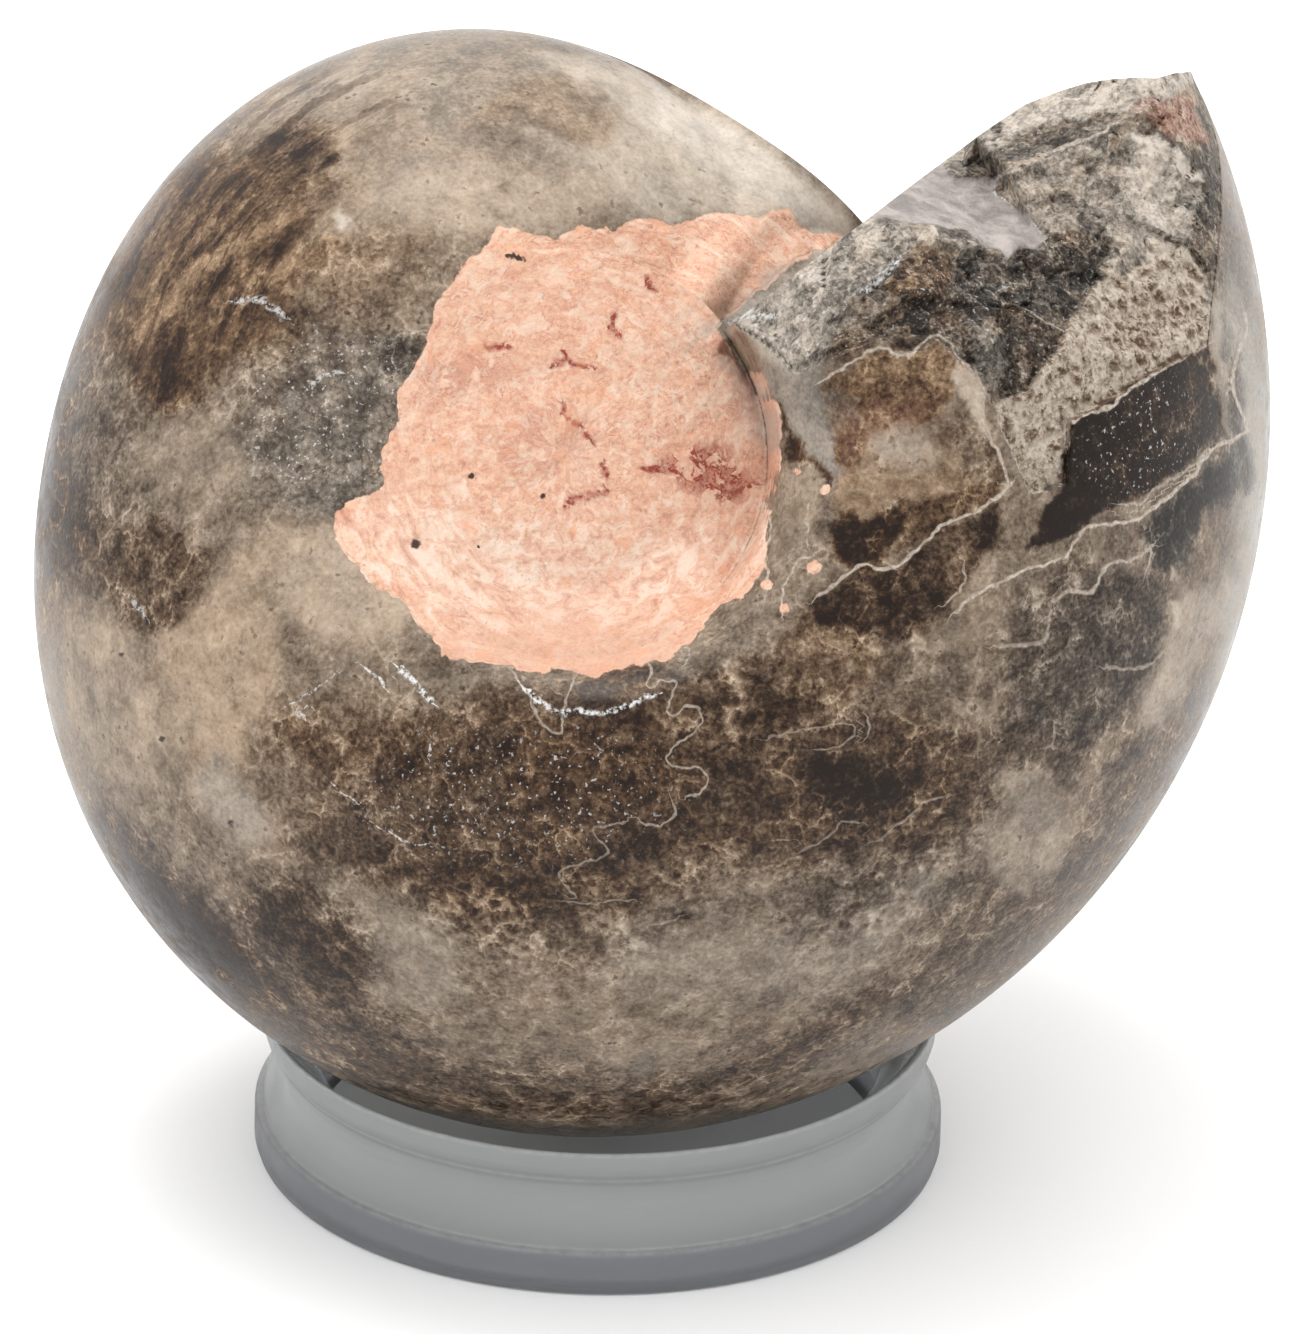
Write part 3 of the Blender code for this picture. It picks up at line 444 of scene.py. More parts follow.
# Thin cream lines where chamber walls and sutures reach the surface: (half width, strength, points).
LINES = (
    # walls of the chambers
    (0.086, 0.8, ((17, 4.4), (18.6, 5.4), (19.6, 6), (21, 6.8), (22.2, 6.4), (23.2, 6.2), (24, 7),
     (24.8, 7.6), (25.6, 7.6), (26.2, 7), (26.8, 6), (27.6, 5.4), (28.2, 4.6), (28.5, 3.6), (28.4, 2.2),
     (28.6, 1.2), (29.2, 0), (30, -1.4), (30.2, -2.6))),
    (0.086, 0.9, ((16.8, -10.4), (18, -9.6), (19.2, -8.6), (20.2, -8.2), (21.4, -8.6), (22.6, -8.2),
     (23.2, -7.6), (24.2, -6.8), (25.4, -5.6), (26.2, -5.2), (27.2, -4.8), (28.4, -4.2), (29.6, -3.4),
     (30.4, -2.6))),
    (0.099, 1, ((26.6, -11.4), (28, -10.2), (29.8, -9.4), (31.2, -8.6), (32.6, -8.2), (33.6, -7.8),
     (34.6, -7.4), (35.2, -6.4), (36.2, -5.4), (37.2, -5.2), (38.8, -5), (40.2, -4.6), (41, -4),
     (42.4, -3), (43.4, -2.2), (44.4, -1.4), (45, -0.4), (45.8, 0.4), (47.2, 1.2))),
    (0.092, 0.6, ((38.6, -3.8), (40.2, -3.6), (41.2, -2.6), (42.6, -1.8), (44.2, -0.8), (45.4, 0.4))),
    (0.099, 0.8, ((34, -10.4), (35, -9.8), (36.4, -10), (37, -9.2), (37.4, -8.2), (38.2, -7.8),
     (39.4, -7.6), (40.6, -7), (41, -6.6))),
    (0.079, 0.7, ((41, -6.6), (41, -7.4), (40.6, -8.4))),
    (0.106, 0.5, ((29.8, -13.8), (32.2, -13.6), (33.2, -13.2), (33.4, -11), (34, -10.4))),
    (0.092, 0.5, ((38, -15.2), (40.6, -15), (42.2, -14))),
    (0.066, 0.6, ((27, -8), (27.2, -9), (26.8, -10), (25.8, -10.8))),
    (0.106, 0.9, ((48.6, 10.4), (48.8, 9), (48, 7.4), (47.4, 5.2), (48.2, 3.2), (48.8, 2), (47.2, 1))),
    (0.066, 0.9, ((30.6, 10.2), (31.8, 9.8), (33, 9), (34.4, 8.4))),
    (0.106, 0.9, ((31, 19.8), (32.8, 20.6), (34.4, 21.4), (36, 22), (37.6, 22.6), (38.6, 23.2),
     (39.4, 23.8), (40.8, 24.4))),
    (0.1, 1, ((34.8, 1.8), (36.4, 2.6), (37.8, 3), (39.4, 4.4), (41.8, 5.8), (44, 7), (45.4, 7.8))),
    # beside the matrix
    (0.066, 0.9, ((13.8, -4.8), (13.8, -6), (13.4, -7.4), (13.4, -8.6), (13.4, -9.6))),
    (0.066, 0.9, ((14.4, -11.4), (14.4, -10.4), (14.6, -9.6), (15.4, -8), (16.2, -7.6))),
    (0.053, 0.6, ((16.2, -4), (16.2, -5.4), (16.2, -6.8))),
    # lobed sutures under the matrix
    (0.059, 0.63, ((5.2, -15), (5.4, -15.6), (5, -16.4), (5.4, -16.6), (6, -16.2), (6.8, -16.2),
     (7, -16.6), (6.6, -17.4), (6.4, -18.4), (6.8, -18.6), (7.2, -18.4), (7.6, -18), (8.2, -18),
     (8.6, -18.2), (8.8, -18.8), (8.4, -19.6), (7.6, -20.2), (6.8, -20.8), (6.4, -21.4), (6.4, -21.8),
     (7.2, -22.2), (8, -22.2), (8.6, -22.2), (9.2, -23), (9, -23.6), (8.6, -24), (7.8, -24.2))),
    (0.059, 0.56, ((7.6, -13.8), (8, -13.8), (8, -14.4), (7.8, -14.8))),
    (0.059, 0.56, ((6.8, -24.6), (7, -25.4), (6.6, -25.8), (5.8, -26.2), (4.8, -26), (4.4, -25.8))),
    (0.059, 0.42, ((3.4, -26), (2.4, -26.2), (1.4, -26.4), (1.4, -27), (2, -27.4), (2.4, -28),
     (1.8, -28.4), (1, -28.6), (0, -29), (-1, -29.4), (-0.6, -30.2), (0.2, -31))),
    (0.053, 0.35, ((-0.6, -31.4), (1.2, -31.6), (2.6, -31.4), (4, -31.4))),
    (0.053, 0.42, ((13.4, -20.2), (15, -19.8), (16.8, -19.4), (18.2, -19.2), (19.2, -19.2), (19.4, -19.6),
     (19.2, -20.2), (18.4, -20.8), (16.8, -21))),
    (0.053, 0.35, ((14.2, -27.2), (15.2, -27.2))),
    (0.059, 0.35, ((15.8, -28), (16.8, -27.6), (18, -26.8), (18.8, -26), (20, -26))),
    (0.059, 0.35, ((21, -27.4), (21.6, -27.2), (22.4, -26.4), (23.6, -25.6), (24.6, -24.6), (26, -24.2))),
    (0.066, 0.49, ((20.4, -18.8), (20.6, -19.6), (20.4, -20))),
    (0.053, 0.35, ((5.2, -33.2), (6.8, -32.8), (7.4, -32.6))),
    (0.059, 0.56, ((-4.6, -15), (-3.2, -17), (-2.4, -19), (-1, -19.8), (-0.8, -18.2), (-0.1, -16.2))),
)
# Painted highlights: glints where the polish, pale scratches and crystal catch the light: (half width,
# strength, points).
GLINTS = (
    # painted highlight along the umbilical shoulder under the matrix
    (0.225, 0.9, ((-3.4, -16.6), (-2.4, -17.6), (-1, -18.4), (0, -18.2), (1.6, -18.4), (2.8, -18.2),
     (3.8, -17.8), (4.8, -17.4), (5.4, -17.2))),
    (0.105, 0.9, ((-14.6, -15), (-13.6, -15.8), (-13, -16.6))),
    (0.262, 1, ((-12, -15.2), (-11, -16.2), (-10, -17.4))),
    (0.09, 0.7, ((-20, -17.8), (-18.2, -16.8), (-16.6, -15.6))),
    (0.09, 0.8, ((-16.6, -23.2), (-16, -23.8), (-15.2, -24.2))),
    (0.09, 0.7, ((-13.8, -26), (-12.6, -26.6), (-11.4, -27.4), (-10.2, -27.4))),
    (0.32, 0.55, ((-23, 11), (-21.8, 11.1), (-20.6, 10.5), (-19.9, 9.9))),
    (0.22, 0.5, ((-18, 4.8), (-17.2, 5.5), (-16, 5.7))), (0.3, 0.7, ((-19, -18.2), (-18.8, -18.4))),
    (0.15, 0.9, ((-10, -20.6), (-10, -20.8))), (0.2, 0.5, ((-30.8, -9.6), (-30, -10.4), (-29.6, -11.2))),
    (0.3, 1, ((22.8, 13.2), (22, 12.4), (21, 11.4), (19.6, 10.6))),
    # painted highlight along the facet's edge
    (0.15, 1, ((31, 19.8), (30.4, 18.8), (31, 18.2), (31.8, 17.2), (32.8, 16.4), (33.4, 15.4))),
    (0.45, 0.8, ((12.2, 9.4), (14, 9.2))),
)
# Foam of tiny cells, growth bands, and crystal with painted sparkle highlights: (x, z, half length, half
# width, turn).
FOAM = (
    (8, -28, 6, 5, 0), (14, -18, 8, 5, 15), (22, -12, 5, 3, 15), (0, -32, 13, 4, 0), (21, -29, 10, 5.5, 35),
)
RIPPLES = ((-25, 14, 12, 9, 50), (-18, 24, 8, 4, 30))
SPARKLE = (
    (-17, 3, 9, 7, 60), (16, 9.5, 6, 4, 40), (28, 11, 8, 4, -10), (40, 1, 6, 5, 30), (-4, -24, 14, 6, 0),
)
# Where marks start and stop: past the matrix's spill, over the last whorl, and round the far umbilicus.
CLEAN_ANGLE = 384
LATE_ANGLE = 345
FAR_MATRIX_RADIUS = 14.0
FAR_MATRIX_EDGE = ((1.2, 5, 2, 0),)
FAR_TURN = 155
AROUND_RADIUS = 30
# Height over the middle plane, as a share of the radius: where near marks give way to far ones, and
# where the clouds of the hidden rim begin and end.
FLANK_BLEND = (-0.25, 0.25)
RIM_TOP = (0.10, -0.12)
RIM_FOOT = (-0.8, -0.35)
# Clouds of the hidden rim: (scale, seed) for tone and for warmth, and their strengths.
RIM_CLOUDS = ((15.0, 17.0), (19.0, 29.0))
RIM_TONE = 0.55
RIM_WARMTH = 1.2
# Marks that both flanks carry, and those of the end face where they aren't 0.
BOTH_FLANKS = ("line", "glint")
PLAIN_MARKS = {"matrix": 4.0, "broken": 3.0, "sponge": 3.0, "facet": 3.0, "line": 20.0, "glint": 20.0,
               "speck": 6.0, "sparkle": 0.4}

# ---- Colours: ramps of (position, colour), then single colours ----
COLD_STONE = (
    (0, (0.0062, 0.0052, 0.0040)), (0.16, (0.020, 0.0169, 0.0133)), (0.34, (0.0645, 0.056, 0.046)),
    (0.52, (0.157, 0.137, 0.114)), (0.72, (0.315, 0.276, 0.230)), (1, (0.535, 0.47, 0.402)),
)
WARM_STONE = (
    (0, (0.0105, 0.0047, 0.0024)), (0.16, (0.032, 0.0158, 0.0080)), (0.34, (0.096, 0.0545, 0.0285)),
    (0.52, (0.212, 0.138, 0.081)), (0.72, (0.386, 0.268, 0.173)), (1, (0.59, 0.438, 0.300)),
)
SPONGE_STONE = (
    (0.10, (0.072, 0.04, 0.024)), (0.30, (0.208, 0.152, 0.108)), (0.5, (0.4, 0.336, 0.268)),
    (0.8, (0.544, 0.48, 0.408)),
)
FACET_STONE = ((0.3, (0.229, 0.201, 0.187)), (0.7, (0.422, 0.378, 0.354)))
PEACH_MATRIX = (
    (0.10, (0.34, 0.141, 0.092)), (0.34, (0.533, 0.289, 0.2)), (0.50, (0.592, 0.377, 0.274)),
    (0.66, (0.614, 0.451, 0.351)), (0.9, (0.651, 0.548, 0.459)),
)
STAIN = ((0.3, (0.15, 0.045, 0.03)), (0.5, (0.30, 0.13, 0.095)), (0.75, (0.46, 0.29, 0.24)))
CREAM_LINE = ((0.35, (0.24, 0.184, 0.14)), (0.65, (0.48, 0.424, 0.36)))
# white of the painted glints and sparkle highlights
GLINT_HIGHLIGHT_WHITE = (0.60, 0.60, 0.59, 1)
ORANGE_GRAIN = (0.64, 0.36, 0.185, 1)
PINK_GRAIN = (0.56, 0.33, 0.29, 1)
DEEP_RUST = (0.23, 0.05, 0.035, 1)
CREAM_CHALK = (0.585, 0.425, 0.335, 1)
# colour of the painted shade at the matrix's lower edge
PAINTED_SHADE_PEACH = (0.50, 0.30, 0.215, 1)
ORANGE_BLOTCH = (0.60, 0.29, 0.17, 1)
GREY_MOTE = (0.34, 0.27, 0.235, 1)
ASH_GREY = (0.38, 0.30, 0.255, 1)
BLACK_SPECK = (0.05, 0.035, 0.028, 1)
CHALK_ROUGHNESS = 0.93
STONE_SPECULAR = 0.17
ACRYLIC_WAIST = (0.63, 0.655, 0.645, 1)
ACRYLIC_FOOT = (0.40, 0.41, 0.44, 1)
# lighter tint of the seat: painted light that brightens it in the stone's shadow
ACRYLIC_SEAT_PAINTED_LIGHT = (0.92, 0.94, 0.94, 1)
# colour of the painted highlights on the ring's turned edges
ACRYLIC_EDGE_HIGHLIGHT = (0.95, 0.96, 0.96, 1)
ACRYLIC_TRANSMISSION = 0.74
ACRYLIC_IOR = 1.49
FLOOR_COLOUR = (0.90, 0.90, 0.90, 1)
FLOOR_ROUGHNESS = 0.9
FLOOR_SPECULAR = 0.1

# ---- Stage, light and camera: the camera's target is in millimetres, the rest of this part in metres ----
FLOOR_SIZE = 3.0
SIDE_LIGHT = 0.95
SKY_LIGHT = 1.75
SKY_HEIGHT = 0.8
LAMP_POWER = 2.2
LAMP_PLACE = (-0.12, 0.10, 0.75)
LAMP_SIZE = (0.40, 0.25)
LAMP_TARGET = (0, 0, 0.04)
CAMERA_DISTANCE = 1.0
CAMERA_REACH = 10
CAMERA_ELEVATION = 24.9
CAMERA_ROLL = 1.2
CAMERA_TARGET = (3.52, 0.0, 38.06)
SENSOR_HEIGHT = 24
FRAME_HEIGHT = 1334
FRAME_SCALE = 13930.0

# ---- Shape ----

def columns(pairs):
    """The first values of some pairs, and their second values."""
    return [p[0] for p in pairs], [p[1] for p in pairs]


def table(pairs, value):
    """The second value that a table of pairs gives for a first one."""
    return np.interp(value, *columns(pairs))


def smooth(low, high, value):
    """0 at low, 1 at high and an eased step between them."""
    t = np.clip((value - low) / (high - low), 0, 1)
    return t * t * (3 - 2 * t)


def natural_spline(knots, values):
    """Second derivatives of the natural cubic through the knots."""
    knots, values = np.array(knots, float), np.array(values, float)
    step, slope = np.diff(knots), np.diff(values) / np.diff(knots)
    system = np.eye(len(knots))
    right = np.zeros(len(knots))
    for i in range(1, len(knots) - 1):
        system[i, i - 1:i + 2] = step[i - 1], 2 * (step[i - 1] + step[i]), step[i]
        right[i] = 6 * (slope[i] - slope[i - 1])
    return np.linalg.solve(system, right)


OUTLINE_LOGS = np.log(OUTLINE_RADII)
OUTLINE_BEND = natural_spline(OUTLINE_ANGLES, OUTLINE_LOGS)


def outline_radius(angle):
    """Radius of the shell's outer edge at a coil angle."""
    knots = np.array(OUTLINE_ANGLES, float)
    angle = np.clip(angle, knots[0] - OUTLINE_MARGIN, knots[-1] + OUTLINE_MARGIN)
    i = np.clip(np.searchsorted(knots, angle) - 1, 0, len(knots) - 2)
    width = knots[i + 1] - knots[i]
    a, b = (knots[i + 1] - angle) / width, (angle - knots[i]) / width
    bend = (a ** 3 - a) * OUTLINE_BEND[i] + (b ** 3 - b) * OUTLINE_BEND[i + 1]
    return np.exp(a * OUTLINE_LOGS[i] + b * OUTLINE_LOGS[i + 1] + bend * width ** 2 / 6)


def end_angle(share):
    """Coil angle of the whorl's end, by share of the way to the outer edge."""
    return END_ANGLE - END_LEAN * share - END_HOOK * share ** 4 + table(END_WAVE, share)


def flank_height(angle, radius):
    """Half thickness of the polished shell."""
    outer = outline_radius(angle)
    thick, start = HALF_THICKNESS * outer, FLANK_START * outer
    drop = SHOULDER_DROP * (np.maximum(start - radius, 0) / SHOULDER_WIDTH) ** SHOULDER_CURVE
    out = np.clip((radius - start) / (outer - start), 0, 1)
    return thick * (np.sqrt(1 - out ** FLANK_ROUNDNESS) - drop)


def matrix_height(angle, radius):
    """Surface of the matrix: a tilted plug, and its spill on the start of the inner whorl."""
    lean = np.cos(np.radians(angle - MATRIX_HIGH_SIDE)) * radius / UMBILICUS_RADIUS
    turn = (angle - SPILL_ANGLE + 180) % 360 - 180
    spill = np.exp(-(turn / SPILL_SPREAD) ** 2) * (SPILL_LEVEL - SPILL_FALL * (radius - UMBILICUS_RADIUS))
    return np.where(radius <= UMBILICUS_RADIUS, MATRIX_LEVEL + MATRIX_TILT * lean, spill)


def plane_point(radius, angle):
    """Coil-plane place (x, z) of a radius and a coil angle."""
    return radius * np.cos(np.radians(angle)), radius * np.sin(np.radians(angle))


def past_edge(edge, radius, turn):
    """Distance along the coil past an edge line; zero before it."""
    return np.maximum(np.radians(turn - table(edge, radius)) * radius, 0)


def fractal(points, scale, octaves=3, seed=0.0):
    """Fractal noise, about -1 to 1, at points given in millimetres."""
    places = (points / scale + (0, 0, seed)).tolist()
    return np.array([noise.fractal(place, FRACTAL_FALL, FRACTAL_STEP, octaves) for place in places])


def fractals(points, layers):
    """The sum of fractal noises given as (height, scale, octaves, seed)."""
    return sum(height * fractal(points, *layer) for height, *layer in layers)


def noise_push(x, y, z):
    """A vector of three separate noises at one place."""
    return [noise.noise((x + dx, y + dy, z + dz)) for dx, dy, dz in PUSH_SHIFTS]


def crystals(points, layers):
    """Flat-faced lumps, in layers of (height, size, seed): each cell is a small plane of its own tilt."""
    total = 0
    for height, size, seed in layers:
        lumps = []
        for place in (points / size + (0, 0, seed)).tolist():
            cell = noise.voronoi(place)[1][0]
            tilt = Vector(noise_push(*(cell * CELL_SPREAD)))
            lumps.append((Vector(place) - cell).dot(tilt) * CELL_TILT + tilt.x * CELL_STEP)
        total = total + height * np.array(lumps)
    return total


def line_distance(x, z, points):
    """Signed distance to an open line of coil-plane points."""
    best = np.full(x.shape, VERY_FAR)
    signed = best.copy()
    for (ax, az), (bx, bz) in zip(points, points[1:]):
        dx, dz = bx - ax, bz - az
        along = np.clip(((x - ax) * dx + (z - az) * dz) / (dx * dx + dz * dz), 0, 1)
        distance = np.hypot(x - ax - along * dx, z - az - along * dz)
        side = np.sign(dx * (z - az) - dz * (x - ax))
        closer = distance < best
        best = np.where(closer, distance, best)
        signed = np.where(closer, distance * side, signed)
    return signed


def inside_distance(x, z, outline):
    """Distance to a closed outline: negative inside it."""
    loop = list(outline) + [outline[0]]
    distance = np.abs(line_distance(x, z, loop))
    crossings = np.zeros(x.shape, bool)
    for (ax, az), (bx, bz) in zip(loop, loop[1:]):
        if az != bz:
            reach = ax + (z - az) * (bx - ax) / (bz - az)
            crossings ^= ((az > z) != (bz > z)) & (x < reach)
    return np.where(crossings, -distance, distance)


def section_columns():
    """Share of the way out, and side of the middle plane, from the near plug's middle to the far one's."""
    def shares(count):
        return np.sin(np.pi / 2 * (np.arange(count) / count) ** COLUMN_SPREAD)

    plug = -1 + np.arange(PLUG_COLUMNS) / PLUG_COLUMNS
    share = np.concatenate((plug, shares(NEAR_COLUMNS), [1.0], shares(FAR_COLUMNS)[::-1], plug[::-1]))
    side = np.ones(len(share))
    side[PLUG_COLUMNS + NEAR_COLUMNS + 1:] = -1
    return share, side


def row_fractions():
    """Share of the whorl covered at each row: dense over the last stretch."""
    split = 1 - LAST_STRETCH / 360
    rest = split * np.arange(ROWS_REST) / ROWS_REST
    last = split + (1 - split) * np.arange(ROWS_LAST + 1) / ROWS_LAST
    return np.concatenate((rest, last))


def coil_grid():
    """Radius, angle and height over rows and columns of the whole shell and both plugs."""
    share, side = section_columns()
    on_shell = np.maximum(share, 0)
    angle = end_angle(on_shell)[None, :] - 360 * (1 - row_fractions())[:, None]
    outer = outline_radius(angle)
    radius = UMBILICUS_RADIUS + (outer - UMBILICUS_RADIUS) * on_shell ** COLUMN_BIAS
    plug = np.broadcast_to(share < 0, radius.shape)
    radius = np.where(plug, UMBILICUS_RADIUS * (share + 1) * PLUG_REACH, radius)
    height = np.maximum(flank_height(angle, radius), matrix_height(angle, radius))
    rim = flank_height(angle, UMBILICUS_RADIUS) - matrix_height(angle, UMBILICUS_RADIUS)
    rim = np.maximum(rim, 0) * (side > 0) * smooth(*OPEN_SIDE, angle) * smooth(*START_SIDE, angle)
    fillet = rim * smooth(FILLET_START, UMBILICUS_RADIUS, radius)
    height = np.where(plug, matrix_height(angle, radius) + fillet, height)
    height[:, share == 1] = 0
    return radius, angle, height * side, np.broadcast_to(side, radius.shape)


def break_depth(radius, angle, rough, lumps):
    """How far the fracture lies below the polished near flank."""
    turn = angle - 360
    skin, deep, steep = (past_edge(edge, radius, turn) for edge in (SKIN_EDGE, BREAK_EDGE, RIDGE_EDGE))
    relief = np.minimum(deep / BREAK_RAMP, 1) * lumps * (1 - RIDGE_CALM * np.minimum(steep, 1))
    depth = table(SKIN_DEPTH, radius) * np.minimum(skin / SKIN_RAMP, 1) + rough * np.minimum(skin, 1)
    depth = depth + table(BREAK_SLOPE, radius) * deep + RIDGE_SLOPE * steep + relief
    return np.where(skin > 0, np.maximum(depth, 0), 0)


def ring_foot():
    """Middle of the ring's foot, in metres."""
    low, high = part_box("ring_stand")
    return Vector(((low.x + high.x) / 2, (low.y + high.y) / 2, low.z))


def coil_frame():
    """Turns coil coordinates (in plane, in plane, along the axis) to the stand's, in metres."""
    yaw, lift = math.radians(AXIS_YAW), math.radians(AXIS_ELEVATION)
    axis = Vector((math.sin(yaw) * math.cos(lift), -math.cos(yaw) * math.cos(lift), math.sin(lift)))
    side = Vector((math.cos(yaw), math.sin(yaw), 0.0))
    turned = Matrix((side, axis.cross(side), axis)).transposed().to_4x4()
    turned.translation = ring_foot() + Vector(COIL_CENTRE) * MM
    return turned @ Matrix.Scale(MM, 4)


def placed(x, z, height):
    """World positions of coil-plane places at a height over the middle plane."""
    turned = np.array(coil_frame())
    return np.stack((x, z, height), -1) @ turned[:3, :3].T + turned[:3, 3]


# ---- Marks ----

def warped(x, z, kind):
    """Places pushed about by noise, so that edges drawn at them come out ragged."""
    for reach, scale, seed in WARPS[kind]:
        places = zip((x / scale).ravel().tolist(), (z / scale).ravel().tolist())
        pushes = np.array([noise_push(a, b, seed) for a, b in places])
        x = x + reach * pushes[:, 0].reshape(x.shape)
        z = z + reach * pushes[:, 1].reshape(z.shape)
    return x, z


def patch_weight(x, z, patch, inner=0.5, outer=1.2):
    """1 in the middle of an elliptical patch, 0 outside it."""
    px, pz, length, width, turn = patch[:5]
    turn = math.radians(turn)
    along = (x - px) * math.cos(turn) + (z - pz) * math.sin(turn)
    across = (z - pz) * math.cos(turn) - (x - px) * math.sin(turn)
    return 1 - smooth(inner, outer, np.hypot(along / length, across / width))


def most(x, z, patches):
    """The largest weight of several patches with a ragged edge."""
    wx, wz = warped(x, z, "zones")
    return np.max([patch_weight(wx, wz, patch, 0.4, 1.1) for patch in patches], axis=0)


def close_to(x, z, points, margin):
    """Where places lie in the box round some points, or within a margin of it."""
    xs, zs = columns(points)
    return (x > min(xs) - margin) & (x < max(xs) + margin) & (z > min(zs) - margin) & (z < max(zs) + margin)


def area_weight(x, z, outline, softness):
    """1 inside an outline, 0 outside it, with an edge of a given softness."""
    close = close_to(x, z, outline, softness + 0.1)
    weight = np.zeros(x.shape)
    weight[close] = smooth(softness, -softness, inside_distance(x[close], z[close], outline))
    return weight


def strongest(x, z, areas):
    """The largest amount of several areas, given as (amount, softness, outline)."""
    weights = [amount * area_weight(x, z, outline, softness) for amount, softness, outline in areas]
    return np.max(weights, axis=0)


def rounded(points):
    """A smooth line through the points, drawn with short straight steps."""
    ends = [points[0], *points, points[-1]]
    line = []
    for a, b, c, d in zip(*(np.array(ends[i:len(ends) - 3 + i], float) for i in range(4))):
        for t in np.arange(LINE_STEPS) / LINE_STEPS:
            curve = 2 * b + (c - a) * t + (2 * a - 5 * b + 4 * c - d) * t * t
            line.append(0.5 * (curve + (3 * b - a - 3 * c + d) * t ** 3))
    return [tuple(point) for point in line] + [points[-1]]


def nearest_line(x, z, lines):
    """Signed distance to the nearest line in its half widths, and how strongly it shows."""
    best = np.full(x.shape, VERY_FAR)
    signed = np.full(x.shape, LINE_FAR)
    shown = np.zeros(x.shape)
    for width, strength, points in lines:
        line = rounded(points)
        close = close_to(x, z, line, LINE_MARGIN)
        distance = line_distance(x[close], z[close], line)
        nearer = np.abs(distance) < best[close]
        best[close] = np.where(nearer, np.abs(distance), best[close])
        signed[close] = np.where(nearer, distance / width, signed[close])
        shown[close] = np.where(nearer, strength * smooth(*LINE_FADE, np.abs(distance)), shown[close])
    return np.clip(signed, -LINE_FAR, LINE_FAR), shown


def nearest_dot(x, z, dots):
    """Distance to the nearest dot, where 1 is its edge."""
    return np.clip(np.min([np.hypot(x - dx, z - dz) / r for dx, dz, r in dots], axis=0), 0, SPECK_FAR)


def layers(x, z):
    """Weight and targets of every patch and area, from the lowest up."""
    wx, wz = warped(x, z, "patches")
    for patch in PATCHES:
        yield patch_weight(wx, wz, patch) * PATCH_STRENGTH, patch[5:]
    wx, wz = warped(x, z, "areas")
    for tone, warmth, softness, lift, outline in AREAS:
        yield area_weight(wx, wz, outline, softness), (tone, warmth, lift)


def painted(x, z):
    """Tone and warmth of the stone, and the lift of its surface, at coil-plane places."""
    values = [np.full(x.shape, start) for start in (BASE_TONE, BASE_WARMTH, 0.0)]
    for weight, targets in layers(x, z):
        for value, target in zip(values, targets):
            value += weight * (target - value)
    return values


def far_places(x, z):
    """The hidden flank carries the same kind of marbling, turned and mirrored."""
    turn = math.radians(FAR_TURN)
    return x * math.cos(turn) + z * math.sin(turn), x * math.sin(turn) - z * math.cos(turn)

# ---- The fossil's surface ----

def matrix_marks(x, z):
    """Where the stone is rusty, where the matrix is greyish or creamy, and the painted shade at its lower
    edge.
    """
    wx, wz = warped(x, z, "rust")
    fine = warped(x, z, "rust_lines")
    strokes = np.min([np.abs(line_distance(*fine, line)) for line in RUST_LINES], axis=0)
    strokes = RUST_LINE_STRENGTH * smooth(2.2 * RUST_LINE_WIDTH, 0.5 * RUST_LINE_WIDTH, strokes)
    return {
        "rust": np.maximum(strongest(wx, wz, RUSTY), strokes),
        "ash": strongest(wx, wz, GREYISH),
        "cream": strongest(wx, wz, CREAMY),
        "under": smooth(*LOW_SHADE_EDGE, wz + LOW_SHADE_CURVE * np.abs(wx)),
    }


def shell_marks(x, z):
    """Cream lines, painted glints, foam and the places of painted sparkle on the stone."""
    lines = warped(x, z, "lines")
    marks = {"foam": most(x, z, FOAM), "sparkle": most(x, z, SPARKLE)}
    marks["line"], marks["line_shown"] = nearest_line(*lines, LINES)
    marks["glint"], marks["glint_shown"] = nearest_line(*lines, GLINTS)
    return marks


def matrix_distance(x, z, angle, radius, height, near):
    """Distance to the matrix, negative inside it: drawn on the near flank, a ragged disc on the far one."""
    beads = np.min([np.hypot(x - bx, z - bz) - r for bx, bz, r in BEADS], axis=0)
    drawn = np.minimum(inside_distance(*warped(x, z, "matrix"), MATRIX_EDGE), beads)
    outside = (angle > CLEAN_ANGLE) & (radius > UMBILICUS_RADIUS)
    drawn = np.where(outside, np.maximum(drawn, 1), drawn)
    points = np.stack((x, z, height), -1).reshape(-1, 3)
    ragged = fractals(points, FAR_MATRIX_EDGE).reshape(x.shape)
    return np.clip(np.where(near, drawn, radius - FAR_MATRIX_RADIUS - ragged), -4, 4)


